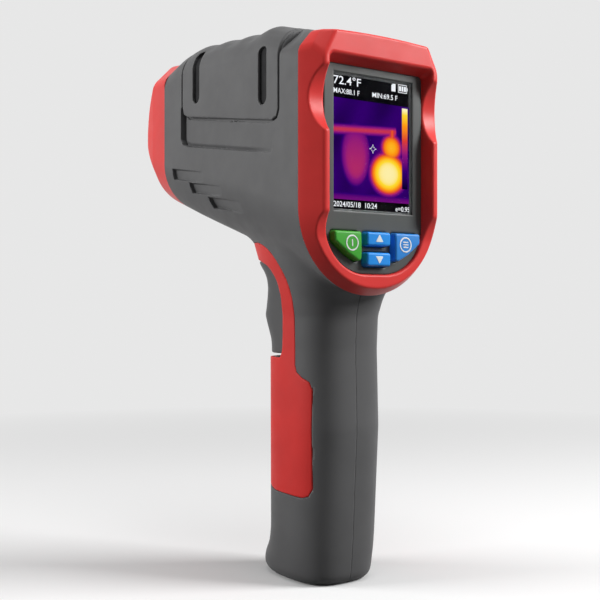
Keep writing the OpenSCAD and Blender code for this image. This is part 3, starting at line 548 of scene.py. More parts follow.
def slot_liner(x, y, z):
    """A thin black sheet behind the slots of the cover, so that the slots look dark."""
    body = outer_body(x, y, z)
    layer = np.maximum(body + COVER_SINK + 0.05, -(body + SLOT_WELL - 0.05))
    return meet(cover_slots(y, z) - 0.35, layer, 0.1)


FLAP_ROUND = 2.1
FLAP_Y, FLAP_Z = flap_high[1] - FLAP_ROUND, REAR_TOP + 9


def port_flap(x, y, z):
    f = cover_skin(x, y, z)
    f = meet(f, np.maximum(np.abs(x) - FLAP_HALF, slab(y, flap_low[1], FLAP_Y + 1)), 0.4)
    f = np.maximum(f, FLAP_Z - 1.3 - z)
    barrel = meet(rod(y - FLAP_Y, z - FLAP_Z, FLAP_ROUND), np.abs(x) - FLAP_HALF, 0.3)
    f = join(np.maximum(f, y - FLAP_Y), barrel, 0.4)
    # thumb groove at the free edge
    across = np.hypot(y - flap_low[1] - 3.2, (z - REAR_TOP - 10.9) * 1.4)
    groove = np.hypot(np.maximum(np.abs(x) - 5, 0), across) - 1.7
    f = cut(f, groove, 0.5)
    return np.maximum(f, -rod(y - FLAP_Y, z - FLAP_Z, 1.0))


# ---------------------------------------------------------------- rear bezel, faceplate and keys

RIM_Y = rear_low[1]
COVE_Y = RIM_Y + 4.8
RIM_IN = 6.4
LOOP_Z = HEAD_LOW + HALF_W
face_low, face_high = corners("faceplate")
PLATE_FACE = face_low[1]
PLATE_BACK = PLATE_FACE + 2
screen_low, screen_high = corners("display_window")
SCREEN_Z = (screen_low[2] + screen_high[2]) / 2
OPEN_W, OPEN_LOW, OPEN_TOP = 27.6, HEAD_LOW + 9.2, REAR_TOP - 12.7
FLANGE_IN = 2.9


def opening(x, y, z, grow=0.0):
    """The hole in the rear bezel: upright sides, round bottom, small upper corners, flared to the rear."""
    flare = ramp(y, (RIM_Y, 1.2), (PLATE_FACE, 0.0)) + grow
    w, r = OPEN_W + flare, 22 + flare
    lower = trough(x, z, w, OPEN_LOW - flare, r)
    return meet(lower, z - OPEN_TOP - ramp(y, (RIM_Y, 2.6), (PLATE_FACE, 0.0)) - grow, 2.2)


def bezel_form(x, y, z, inset, edge):
    """Outline of the rear bezel at depth y, drawn in by inset, with its slanted upper corners."""
    w, low = HALF_W - inset, HEAD_LOW + inset
    top = ramp(y, (RIM_Y, REAR_TOP - 1), (COVE_Y, REAR_TOP - 0.5), (SEAM_REAR, REAR_TOP))
    cut_w = ramp(y, (RIM_Y, 5.6), (COVE_Y, 4.7), (SEAM_REAR, 7))
    cut_h = ramp(y, (RIM_Y, 11), (COVE_Y, 6.9), (SEAM_REAR, 8.2))
    return section(x, z, w, low, top, w - 0.5, cut_h, cut_w, edge)


RIDGE_LOW = LOOP_Z - 3
SCOOP_R, SCOOP_Z = 18.0, SCREEN_Z + 16.6
SCOOP_Y = PLATE_FACE - 0.2 - SCOOP_R


def rear_bezel(x, y, z):
    """A loop round the display whose side wall leans in from the seam to a narrow ridge at the rim."""
    hollow = RIM_IN * (np.clip(SEAM_REAR - y, 0, 20) / (SEAM_REAR - RIM_Y)) ** 1.08
    f = meet(bezel_form(x, y, z, hollow, ramp(y, (RIM_Y, 0.9), (SEAM_REAR, 1.4))) * 0.8, RIM_Y - y, 0.9)
    # the ridge stops above the keypad, and dips on both sides for the fingers
    below = line(y, z, COVE_Y, RIDGE_LOW - 6, RIM_Y, RIDGE_LOW)
    f = cut(f, meet(y - COVE_Y, -below, 3.5), 0.6)
    f = cut(f, rod(y - SCOOP_Y, z - SCOOP_Z, SCOOP_R), 0.6)
    f = np.maximum(f, y - SEAM_REAR)
    f = cut(f, opening(x, y, z), 0.9)
    return np.maximum(f, -np.maximum(flange_outline(x, z, SET_GAP), PLATE_BACK - y))


def flange_outline(x, z, grow=0.0):
    """The faceplate's flange and its seat inside the rear bezel."""
    w = HALF_W - FLANGE_IN + grow
    low, top = HEAD_LOW + FLANGE_IN - grow, REAR_TOP - FLANGE_IN + grow
    return section(x, z, w, low, top, w - 0.5, 8.2, 7, 1.0)


KEY_Z = OPEN_LOW + 10.8
POWER_KEY = [(-9.2, 7.5), (-9.2, -5.2), (-11.5, -5.2), (-17, -2.3), (-24, 2.9), (-24.2, 7.5)]
UP_KEY = [(-6.8, 1.3), (6.8, 1.3), (6.8, 7.5), (-6.8, 7.5)]
KEYS = {"power_key": POWER_KEY, "menu_key": [(-p, q) for p, q in POWER_KEY],
        "up_key": UP_KEY, "down_key": [(p, -q) for p, q in UP_KEY]}
KEY_ROUND = 1.2
KEY_GAP = 0.35
key_low, key_high = corners("up_key")
KEY_FACE = key_low[1]
KEY_BACK = key_high[1]


def shrunk(points, by):
    """A convex outline drawn in by a distance."""
    area = sum(a[0] * b[1] - b[0] * a[1] for a, b in zip(points, points[1:] + points[:1]))
    turn = 1 if area > 0 else -1
    sides = []
    for (ax, ay), (bx, by_) in zip(points, points[1:] + points[:1]):
        length = math.hypot(bx - ax, by_ - ay)
        nx, ny = -(by_ - ay) / length * turn, (bx - ax) / length * turn
        sides.append((ax + nx * by, ay + ny * by, bx - ax, by_ - ay))
    out = []
    for (px, py, dx, dy), (qx, qy, ex, ey) in zip(sides[-1:] + sides[:-1], sides):
        t = ((qx - px) * ey - (qy - py) * ex) / (dx * ey - dy * ex)
        out.append((px + dx * t, py + dy * t))
    return out


def key_outline(x, z, points, grow=0.0):
    return polygon(x, z - KEY_Z, shrunk(points, KEY_ROUND), KEY_ROUND + grow)


def window_outline(x, z, grow=0.0):
    upright = slab(z, screen_low[2] - grow, screen_high[2] + grow)
    return np.maximum(np.abs(x) - screen_high[0] - grow, upright)


def faceplate(x, y, z):
    f = meet(opening(x, PLATE_FACE + 0 * y, z, -0.12), PLATE_FACE - y, 0.25)
    flange = np.maximum(flange_outline(x, z), slab(y, PLATE_BACK, SEAM_REAR))
    f = np.minimum(np.maximum(f, y - PLATE_BACK - 0.2), flange)
    # key openings
    keys = np.minimum.reduce([key_outline(x, z, p) for p in KEYS.values()])
    f = cut(f, keys - KEY_GAP, 0.3)
    pocket = np.maximum(meet(np.abs(x) - 26, slab(z, OPEN_LOW + 1, screen_low[2] - 4), 6), PLATE_BACK - y)
    f = np.maximum(f, -pocket)
    # display opening
    f = cut(f, np.maximum(window_outline(x, z, SET_GAP), y - PLATE_FACE - 1.2), 0.2)
    return np.maximum(f, -np.maximum(window_outline(x, z, -0.8), y - SEAM_REAR - 1))


def display_window(x, y, z):
    return block(x, y, z, screen_low, screen_high, 0.35)


# ---------------------------------------------------------------- front bezel and panel

barrel_low, barrel_high = corners("lens_barrel")
panel_low, panel_high = corners("front_panel")
LENS_Z = (barrel_low[2] + barrel_high[2]) / 2
BARREL_R = barrel_high[0] - 3
CHEEK_Y = front_high[1]
NOSE_Y = CHEEK_Y - 10
PANEL_Y = panel_high[1]
PANEL_WALL = 2.4
FACE_Z = np.arange(FRONT_LOW - 2, FRONT_TOP + 8, 0.5)
CHEEKS = softened(FACE_Z, LENS_Z + np.array([-40, -14, -1.5, 0, 8, 16.5, 23, 32, 50]),
                  CHEEK_Y - np.array([10, 10, 0.8, 0, 0, 1.7, 4.3, 10, 10]), (9, 9))


def front_form(x, y, z, grow=0.0):
    w = FRONT_HALF_W + ramp(y, (SEAM_FRONT, 0), (NOSE_Y, -1.4), (CHEEK_Y, -3.2)) + grow
    top = ramp(y, (SEAM_FRONT, FRONT_TOP), (NOSE_Y, FRONT_TOP + 2.5), (CHEEK_Y, FRONT_TOP + 1.5)) + grow
    low = ramp(y, (SEAM_FRONT, FRONT_LOW), (NOSE_Y, FRONT_LOW + 4.5), (CHEEK_Y, FRONT_LOW + 8)) - grow
    chamfer = ramp(y, (SEAM_FRONT, 9), (NOSE_Y, 11)) + 0 * x
    r = ramp(y, (SEAM_FRONT, 22.5), (NOSE_Y, 23)) + grow
    return section(x, z, w, low, top, r, chamfer, chamfer, 1.8)


def front_opening(x, z, grow=0.0):
    w, low, top, r = 27 + grow, FRONT_LOW + 7 - grow, FRONT_TOP - 5 + grow, 17 + grow
    return section(x, z, w, low, top, r, 6, 6, 1.5)


def front_bezel(x, y, z):
    f = front_form(x, y, z)
    f = meet(f, (y - np.interp(z, FACE_Z, CHEEKS)) * 0.8, 1.6)
    flare = ramp(y, (PANEL_Y, 0.0), (CHEEK_Y + 1, 2.6))
    f = cut(f, front_opening(x, z, flare), 1.0)
    f = np.maximum(f, SEAM_FRONT - y)
    inner = np.maximum(front_form(x, y, z, -2.6), y - PANEL_Y + PANEL_WALL)
    return np.maximum(f, -inner)


window_low, window_high = corners("camera_window")
CAMERA_X, CAMERA_Z = -(window_low[0] + window_high[0]) / 2, (window_low[2] + window_high[2]) / 2


def front_panel(x, y, z):
    f = meet(front_opening(x, z, -SET_GAP), y - PANEL_Y, 0.4)
    w = FRONT_HALF_W - 1.3
    flange = section(x, z, w, FRONT_LOW + 1.3, FRONT_TOP - 1.3, 21.2, 9, 9, 1.0)
    f = np.maximum(np.minimum(f, np.maximum(flange, y - SEAM_FRONT - PANEL_WALL)), SEAM_FRONT - y)
    inner = np.maximum(front_opening(x, z, -SET_GAP - PANEL_WALL), y - PANEL_Y + PANEL_WALL)
    f = np.maximum(f, -inner)
    # hole and groove round the barrel, raised ledge round the two windows
    f = cut(f, rod(x, z - LENS_Z, BARREL_R + SET_GAP), 0.5)
    groove = np.abs(rod(x, z - LENS_Z, BARREL_R + 2.2)) - 0.5
    f = cut(f, np.maximum(groove, PANEL_Y - 0.6 - y), 0.2)
    ledge = np.abs(polygon(x, z - CAMERA_Z, [(-CAMERA_X, 0), (CAMERA_X, 0.01), (0, -0.01)], 5.4)) - 0.2
    f = cut(f, np.maximum(ledge, PANEL_Y - 0.4 - y), 0.15)
    well = rod(np.abs(x) - CAMERA_X, z - CAMERA_Z, 4.5)
    f = cut(f, np.maximum(well, PANEL_Y - 1 - y), 0.3)
    return np.maximum(f, -(well + 0.8))


RETAINER_R, LENS_R = 13.0, 15.0
ring_low, ring_high = corners("lens_retainer")


def retainer(x, y, z):
    """Threaded ring in front of the lens, with two notches for a spanner."""
    d = np.hypot(x, z - LENS_Z)
    f = meet(np.maximum(d - LENS_R - SET_GAP, RETAINER_R - d), slab(y, ring_low[1], ring_high[1]), 0.3)
    notch = block(np.abs(x), y, z - LENS_Z, (12, ring_high[1] - 1.2, -1.1), (17, ring_high[1] + 2, 1.1), 0.2)
    return cut(f, notch, 0.2)


# ---------------------------------------------------------------- base, trigger

BASE_T = 3.0
GROOVE_PITCH = 3.2
BOSS_R, BOSS_TOP = 7.5, 9.4
INSERT_R = 4.5
THREAD_IN, THREAD_OUT, HALF_PITCH = 2.9, 3.3, 0.635


def base_plate(x, y, z):
    """Foot of the handle: an oval plate with shallow grip grooves and a boss for the tripod thread."""
    w = -GRIP_REAR - 13.6
    f = oval(x, y, 12 + GRIP_REAR, GRIP_FRONT - 3, w, w, OVAL_POWER)
    f = meet(f, slab(z, 0, BASE_T), 0.5)
    grooves = np.maximum(np.abs((y + 1000) % GROOVE_PITCH - GROOVE_PITCH / 2) - 0.5, z - 0.45)
    grooved = np.maximum(8 - np.hypot(x, y), np.abs(x) - 10)
    f = cut(f, np.maximum(grooves, grooved), 0.15)
    step = block(x, y, z, (-12.8, 11.2 + GRIP_REAR, BASE_T - 0.5), (12.8, 17.8, 5), 0.3)
    boss = np.maximum(rod(x, y, BOSS_R), slab(z, BASE_T - 0.5, BOSS_TOP))
    return cut(np.minimum(f, np.minimum(step, boss)), rod(x, y, INSERT_R), 0.2)


TRIGGER_SIDE = 17.55
TRIGGER_POWER = 4.6
TRIGGER_Z = np.arange(-TRIGGER_LEN, 0.1, 0.5)
TRIGGER_FRONT = softened(TRIGGER_Z,
                         [-TRIGGER_LEN, -43, -40, -36.6, -32, -28.7, -26, -21, -16, -12, -8.8, -5.3, -3.4],
                         [5, 5.1, 5.6, 7.2, 9.5, 10.8, 10, 9, 8.5, 9.4, 11.5, 15.3, 16.6], (5,))
TRIGGER_BODY = [(-18, 2 - TRIGGER_LEN), (-18, -9), (-14, -4.6), (-3, -4.1), (3, -4.1), (7, -3.4), (30, -3.4),
                (30, -TRIGGER_LEN), (-16, -TRIGGER_LEN)]
TRIGGER_ROOT = [(-8, -10), (-8, 0), (-6, 3), (5, 3), (9, -3.4), (9, -10)]


def trigger_form(x, py, pz, inset=0.0):
    front = np.interp(pz, TRIGGER_Z, TRIGGER_FRONT)
    w = TRIGGER_SIDE - inset
    return oval(x, py, GRIP_REAR - PIVOT[0], front - inset, w, w, TRIGGER_POWER)


def trigger(x, y, z):
    py, pz = y - PIVOT[0], z - PIVOT[1]
    f = meet(trigger_form(x, py, pz), polygon(py, pz, TRIGGER_BODY), 0.8)
    f = np.minimum(f, meet(polygon(py, pz, TRIGGER_ROOT), np.abs(x) - 12, 0.4))
    hollow = np.maximum(trigger_form(x, py, pz, 2.4), slab(pz, 3 - TRIGGER_LEN, -7))
    opening_rear = block(x, py, pz, (-13.4, -60, -60), (13.4, -8, 10))
    notch = block(x, py, pz, (-4.6, -10, -8), (4.6, 5, 10))
    f = np.maximum(f, -np.minimum(hollow, np.minimum(opening_rear, notch)))
    return np.maximum(f, -rod(py, pz, 1.55))


# ---------------------------------------------------------------- materials

def principled(name, sockets):
    """A material, its node tree and its shader, with the named sockets set."""
    material = bpy.data.materials.new(name)
    material.use_nodes = True
    shader = material.node_tree.nodes["Principled BSDF"]
    for socket, value in sockets.items():
        shader.inputs[socket].default_value = value
    return material, material.node_tree, shader


def worked_out(tree, kind, operation, first, second):
    """The result of a maths node of two sockets."""
    node = tree.nodes.new(kind)
    node.operation = operation
    tree.links.new(first, node.inputs[0])
    tree.links.new(second, node.inputs[1])
    return node.outputs["Value"]


def noise(tree, place, size, detail=2.0):
    """Noise whose features are about size millimetres."""
    texture = tree.nodes.new("ShaderNodeTexNoise")
    texture.inputs["Scale"].default_value = 1 / (size * MM)
    texture.inputs["Detail"].default_value = detail
    tree.links.new(place, texture.inputs["Vector"])
    return texture.outputs["Fac"]


def remap(tree, value, low, high, to_low, to_high):
    node = tree.nodes.new("ShaderNodeMapRange")
    for name, number in (("From Min", low), ("From Max", high), ("To Min", to_low), ("To Max", to_high)):
        node.inputs[name].default_value = number
    tree.links.new(value, node.inputs["Value"])
    return node.outputs["Result"]


def mixed(tree, factor, first, second):
    """Colour between first and second; each is a colour or a socket."""
    node = tree.nodes.new("ShaderNodeMix")
    node.data_type = "RGBA"
    tree.links.new(factor, node.inputs["Factor"])
    for side, colour in (("A", first), ("B", second)):
        socket = [s for s in node.inputs if s.name == side and s.type == "RGBA"][0]
        if isinstance(colour, tuple):
            socket.default_value = (*colour, 1)
        else:
            tree.links.new(colour, socket)
    return [s for s in node.outputs if s.type == "RGBA"][0]


def rubbed_edges(tree, place, amount):
    """1 on rubbed edges, 0 elsewhere: where the bevelled normal leaves the true one, broken up by noise."""
    bevel = tree.nodes.new("ShaderNodeBevel")
    bevel.inputs["Radius"].default_value = 0.7 * MM
    surface = tree.nodes.new("ShaderNodeNewGeometry")
    agreement = worked_out(tree, "ShaderNodeVectorMath", "DOT_PRODUCT", bevel.outputs["Normal"],
                           surface.outputs["Normal"])
    edge = remap(tree, agreement, 0.995, 0.90, 0, amount)
    patches = remap(tree, noise(tree, place, 3.5, 4), 0.35, 0.6, 0.2, 1)
    return worked_out(tree, "ShaderNodeMath", "MULTIPLY", edge, patches)


def finish(name, colour, roughness, grain=0.35, depth=0.012, rub=0.3, metallic=0.0, coat=0.0, specular=0.2):
    """A moulded, cast or plated surface: grain, mottled gloss, slightly uneven colour, rubbed edges.
    grain and depth are the width and height of the grain in millimetres."""
    material, tree, shader = principled(name, {
        "Metallic": metallic, "Coat Weight": coat, "Coat Roughness": 0.15, "Specular IOR Level": specular})
    place = tree.nodes.new("ShaderNodeTexCoord").outputs["Object"]
    cloudy = noise(tree, place, 22, 3)
    fine = noise(tree, place, grain, 2)
    dark, light = (tuple(c * k for c in colour) for k in (0.95, 1.05))
    worn = tuple(min(1, c * 1.25 + 0.03) for c in colour)
    base = mixed(tree, remap(tree, cloudy, 0.35, 0.65, 0, 1), dark, light)
    rubbed = rubbed_edges(tree, place, rub)
    tree.links.new(mixed(tree, rubbed, base, worn), shader.inputs["Base Color"])
    gloss = remap(tree, noise(tree, place, 6, 4), 0.3, 0.7, roughness - 0.05, roughness + 0.05)
    tree.links.new(gloss, shader.inputs["Roughness"])
    bump = tree.nodes.new("ShaderNodeBump")
    bump.inputs["Distance"].default_value = depth * MM
    bump.inputs["Strength"].default_value = 0.6
    tree.links.new(fine, bump.inputs["Height"])
    tree.links.new(bump.outputs["Normal"], shader.inputs["Normal"])
    return material


def glass(name, colour, roughness=0.03, ior=1.3):
    """Clear plastic with faint wipe marks. A low ior keeps reflections from veiling what lies behind."""
    material, tree, shader = principled(name, {
        "Base Color": (*colour, 1), "Transmission Weight": 1, "IOR": ior, "Specular IOR Level": 0.1})
    place = tree.nodes.new("ShaderNodeTexCoord").outputs["Object"]
    marks = remap(tree, noise(tree, place, 9, 5), 0.4, 0.75, roughness, 2 * roughness)
    tree.links.new(marks, shader.inputs["Roughness"])
    return material


def glow(name, colour):
    """A lit part of the display: plain emission, on black that reflects nothing."""
    return principled(name, {
        "Base Color": (0, 0, 0, 1), "Roughness": 0.6, "Specular IOR Level": 0.0,
        "Emission Color": (*colour, 1), "Emission Strength": 1.0})


WARMTH = "warmth"
PALETTE = ((0.0, (0.0, 0.0, 0.012)), (0.22, (0.035, 0.0, 0.16)), (0.42, (0.25, 0.008, 0.20)),
           (0.60, (0.72, 0.045, 0.03)), (0.78, (1.0, 0.30, 0.005)), (0.92, (1.0, 0.72, 0.03)),
           (1.0, (1.0, 0.97, 0.62)))


def thermal():
    """False colours of the thermal picture, from the values that its mesh carries."""
    material, tree, shader = glow("thermal_picture", (0, 0, 0))
    values = tree.nodes.new("ShaderNodeAttribute")
    values.attribute_name = WARMTH
    palette = tree.nodes.new("ShaderNodeValToRGB")
    while len(palette.color_ramp.elements) < len(PALETTE):
        palette.color_ramp.elements.new(0.5)
    for element, (place, colour) in zip(palette.color_ramp.elements, PALETTE):
        element.position = place
        element.color = (*colour, 1)
    tree.links.new(values.outputs["Fac"], palette.inputs["Fac"])
    tree.links.new(palette.outputs["Color"], shader.inputs["Emission Color"])
    return material


GREY = (0.108, 0.108, 0.110)
RED = (0.77, 0.046, 0.042)
FINISHES = (
    ("housing_plastic", GREY, 0.52, dict()),
    ("red_plastic", RED, 0.38, dict(grain=0.3, depth=0.008)),
    ("grip_rubber", (0.72, 0.034, 0.030), 0.5, dict(grain=0.3, depth=0.014)),
    ("faceplate_plastic", (0.078, 0.084, 0.082), 0.42, dict(depth=0.006)),
    ("trigger_plastic", (0.085, 0.085, 0.087), 0.45, dict()),
    ("black_plastic", (0.010, 0.010, 0.011), 0.6, dict(specular=0.1)),
    ("key_green", (0.060, 0.40, 0.038), 0.36, dict(grain=0.25, depth=0.006)),
    ("key_blue", (0.020, 0.29, 0.84), 0.36, dict(grain=0.25, depth=0.006)),
    ("menu_blue", (0.035, 0.25, 0.70), 0.36, dict(grain=0.25, depth=0.006)),
    ("icon_white", (0.85, 0.86, 0.86), 0.45, dict(grain=0.2, depth=0.004, rub=0.0)),
    ("board_green", (0.012, 0.13, 0.045), 0.35, dict(grain=0.8, depth=0.02)),
    ("plated_steel", (0.60, 0.60, 0.62), 0.3, dict(metallic=1.0)),
    ("dark_steel", (0.10, 0.10, 0.105), 0.38, dict(metallic=1.0, rub=0.6)),
    ("brass", (0.72, 0.50, 0.20), 0.32, dict(metallic=1.0)),
    ("barrel_metal", (0.035, 0.035, 0.040), 0.34, dict(grain=0.2, metallic=0.6, rub=0.5)),
    ("germanium", (0.16, 0.20, 0.30), 0.09, dict(depth=0.001, metallic=0.9, rub=0.0, coat=0.5)),
    ("seal_rubber", (0.015, 0.015, 0.015), 0.7, dict()),
    ("sensor_ceramic", (0.26, 0.23, 0.17), 0.5, dict()),
    ("lamp_reflector", (0.75, 0.75, 0.70), 0.15, dict(depth=0.001, metallic=0.9)),
    ("cell_wrap", (0.02, 0.10, 0.32), 0.3, dict(grain=2.0)),
    ("display_glass", (0.004, 0.004, 0.005), 0.35, dict(depth=0.001, rub=0.0, specular=0.0)))
MATERIALS = {name: finish(name, colour, roughness, **more) for name, colour, roughness, more in FINISHES}
MATERIALS["window_clear"] = glass("window_clear", (0.96, 0.97, 1.0))
SCREEN_CLEAR = glass("screen_clear", (0.98, 0.98, 1.0), roughness=0.004, ior=1.03)
WHITE_PIXELS = glow("white_pixels", (0.9, 0.93, 0.95))[0]
THERMAL = thermal()


def placed(obj, body, nodes, slot, material=None):
    """Material, body, CAD nodes and slot of one piece."""
    obj.data.materials.clear()
    obj.data.materials.append(material or MATERIALS[slot])
    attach(obj, body)
    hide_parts(*nodes)
    return obj


def piece(name, f, low, high, step, slot, node=None, body="body", material=None, mirror=False):
    """A moulded piece, meshed between two corners. It replaces its CAD node, if it has one."""
    obj = mesh_object(name, *contour(f, low, high, step), mirror)
    return placed(obj, body, [node] if node else [], slot, material)


# ---------------------------------------------------------------- icons and the display's picture

PRINT_T = 0.1
SIDE_ICON = (15.0, 2.3)
POINT_ICON = 4.4
RING_R, RING_HALF = 3.1, 0.3
BAR_REACH = 1.5


def crowned(points, crown):
    """Height of a key's face at (x, z)."""
    cx = sum(p[0] for p in points) / len(points)
    cz = sum(p[1] for p in points) / len(points)
    return lambda x, z: KEY_FACE + crown * (((x - cx) / 12) ** 2 + ((z - KEY_Z - cz) / 9) ** 2)


def key(points, crown):
    """A key: drafted sides, rounded rim, face crowned by a shallow dome, lip behind the faceplate."""
    face = crowned(points, crown)

    def f(x, y, z):
        draft = ramp(y, (KEY_FACE, 0.25), (PLATE_FACE, 0.0))
        top = meet(key_outline(x, z, points) + draft, face(x, z) - y, 0.9)
        body = np.maximum(top, y - KEY_BACK)
        lip = np.maximum(key_outline(x, z, points, 0.8), slab(y, KEY_BACK - 0.8, KEY_BACK))
        return np.minimum(body, lip)
    return f


def printed(mark, points, crown):
    """A mark printed on a key: mark is its flat outline, a distance function of (x, z)."""
    face = crowned(points, crown)
    return lambda x, y, z: np.maximum(mark(x, z), np.abs(y - face(x, z)) - PRINT_T)


def ringed(u, v, bars):
    """A ring round some bars."""
    return np.minimum.reduce([np.abs(np.hypot(u, v) - RING_R) - RING_HALF, *bars])


def power_mark(x, z):
    """A ring with an upright bar."""
    u, v = x + SIDE_ICON[0], z - KEY_Z - SIDE_ICON[1]
    return ringed(u, v, [stadium(u, v, -BAR_REACH, BAR_REACH, RING_HALF)])


def menu_mark(x, z):
    """A ring round three bars of a list."""
    u, v = x - SIDE_ICON[0], z - KEY_Z - SIDE_ICON[1]
    return ringed(u, v, [stadium(v - w, u, -BAR_REACH, BAR_REACH, 0.26) for w in (-1.1, 0, 1.1)])


def arrow_mark(sign):
    """A triangle that points up (1) or down (-1)."""
    triangle = [(-1.7, -1.1), (1.7, -1.1), (0, 1.5)]
    return lambda x, z: polygon(x, sign * (z - KEY_Z) - POINT_ICON, triangle, 0.25)


PICTURE = (SCREEN_Z - 24.4, SCREEN_Z + 18.7)
PICTURE_HALF_W = 21.9
GLASS_BACK = screen_high[1]
WORDS_Y = GLASS_BACK + 0.1
WORDS_DEPTH = 5     # millimetres for one unit of a letter's own depth
STROKE = 0.004      # in units of a letter's height
READINGS = (("reading_now", "72.4\u00b0F", (-21.3, 24.4), (-6.4, 28.1)),
            ("reading_high", "MAX:88.1 F", (-21.3, 20.5), (-7.2, 22.7)),
            ("reading_low", "MIN:69.5 F", (0, 20.9), (14.4, 23.1)),
            ("clock", "2024/05/18  10:24", (-21.3, -27.6), (2.6, -25.3)),
            ("emissivity", "e=0.95", (13.3, -28.1), (21.6, -25.9)))


def fading(d, soft):
    """1 where d is negative, fading to 0 where it is positive."""
    return 1 / (1 + np.exp(d / soft))


def blob(u, v, cu, cv, ru, rv, soft):
    """A warm shape: 1 inside an ellipse, fading to 0 outside."""
    return fading(np.hypot((u - cu) / ru, (v - cv) / rv) - 1, soft)


def heat(u, v):
    """Temperatures of a made-up view: a cool wall with a warm pipe, a round tank and a hot pump.
    u and v go from -1 to 1 across and up the picture."""
    t = 0.16 + 0.05 * np.sin(3.1 * u + 1) * np.cos(2.3 * v) + 0.04 * np.sin(7 * u - 4 * v)
    tank = blob(u, v, -0.42, -0.08, 0.36, 0.62, 0.12)
    pump = blob(u, v, 0.42, -0.42, 0.46, 0.42, 0.14)
    motor = blob(u, v, 0.50, 0.12, 0.26, 0.26, 0.18)
    pipe = fading(np.abs(v - 0.42 - 0.05 * u) - 0.09, 0.03) * (u < 0.62)
    rise = fading(np.abs(u - 0.52) - 0.10, 0.04) * (v > -0.2) * (v < 0.48)
    ground = fading(v + 0.86, 0.04)
    parts = [t, 0.50 * tank * (0.75 + 0.35 * (0.5 - v / 2)), 0.58 * pipe, 0.70 * rise, 0.84 * motor,
             0.97 * pump, 0.34 * ground]
    return np.clip(np.maximum.reduce(parts), 0, 1)


def lit_sheet(name, low, high, columns, rows, values, material, y):
    """A flat lit sheet in the display, from (x, z) low to high, with heat values at its vertices."""
    u, v = np.meshgrid(np.linspace(-1, 1, columns), np.linspace(-1, 1, rows))
    u, v = u.ravel(), v.ravel()
    x = low[0] + (high[0] - low[0]) * (u + 1) / 2
    z = low[1] + (high[1] - low[1]) * (v + 1) / 2
    points = np.stack([x, np.full_like(x, y), z], 1)
    first = (np.arange(rows - 1)[:, None] * columns + np.arange(columns - 1)).ravel()
    faces = np.stack([first, first + 1, first + columns + 1, first + columns], 1)
    obj = mesh_object(name, points, faces)
    attribute = obj.data.attributes.new(WARMTH, "FLOAT", "POINT")
    attribute.data.foreach_set("value", values(u, v).astype(np.float32))
    return placed(obj, "body", [], "display_glass", material)


def words(name, text, low, high):
    """A thin mesh of text on the display, fitted between two corners given from the screen's middle."""
    data = bpy.data.curves.new(name, "FONT")
    data.body = text
    data.extrude = data.offset = STROKE
    data.resolution_u = 3
    source = linked(name + "_curve", data)
    bpy.context.view_layer.update()
    mesh = bpy.data.meshes.new_from_object(source.evaluated_get(bpy.context.evaluated_depsgraph_get()))
    bpy.data.objects.remove(source)
    points = np.empty(3 * len(mesh.vertices), np.float32)
    mesh.vertices.foreach_get("co", points)
    points = points.reshape(-1, 3)
    across, up, out = points.T
    x = np.interp(across, (across.min(), across.max()), (low[0], high[0]))
    z = np.interp(up, (up.min(), up.max()), (SCREEN_Z + low[1], SCREEN_Z + high[1]))
    points = np.stack([x, WORDS_Y - WORDS_DEPTH * out, z], 1) * MM
    mesh.vertices.foreach_set("co", points.ravel().astype(np.float32))
    mesh.update()
    return placed(linked(name, mesh), "body", [], "display_glass", WHITE_PIXELS)


def lit_marks(name, outlines):
    """Flat lit marks in front of the picture, each a convex outline of (x, z) points."""
    points, faces = [], []
    for outline in outlines:
        faces.append(tuple(range(len(points), len(points) + len(outline))))
        points += [(x * MM, WORDS_Y * MM, z * MM) for x, z in outline]
    mesh = bpy.data.meshes.new(name)
    mesh.from_pydata(points, [], faces)
    return placed(linked(name, mesh), "body", [], "display_glass", WHITE_PIXELS)


def bar(x, z, half_x, half_z):
    return [(x + i * half_x, z + j * half_z) for i, j in ((-1, -1), (1, -1), (1, 1), (-1, 1))]


# ---------------------------------------------------------------- pieces

HALF_CASE = (-HALF_W - 1, SEAM_REAR, 0), (0, SEAM_FRONT, REAR_TOP + 14)
SLOT_BOX = (cover_low[0], COVER_REAR, 200), (0, COVER_FRONT, REAR_TOP + 12)
KEY_CROWN, SMALL_CROWN = 0.5, 0.25
LENS_DOME = 60
GASKET_T = 0.8
FLANGE, FLANGE_T = 3, 2.2
WINDOW_R = 4.4


def build_case():
    piece("left_housing", left_half, *HALF_CASE, 0.85, "housing_plastic", "left_shell")
    piece("right_housing", right_half, *HALF_CASE, 0.85, "housing_plastic", "right_shell", mirror=True)
    piece("red_grip", grip_insert, (-HALF_W, SEAM_REAR, 35), (HALF_W, 60, BAND_TOP), 0.9, "grip_rubber",
          "grip_insert")
    piece("roof_cover", saddle_cover, cover_low, cover_high, 0.8, "housing_plastic", "saddle_cover")
    piece("slot_liners", slot_liner, *SLOT_BOX, 0.5, "black_plastic")
    piece("slot_liners_right", slot_liner, *SLOT_BOX, 0.5, "black_plastic", mirror=True)
    piece("port_cover", port_flap, flap_low, flap_high, 0.35, "housing_plastic", "port_flap", "port_flap")
    piece("trigger_lever", trigger, trigger_low, trigger_high, 0.6, "trigger_plastic", "trigger", "trigger")


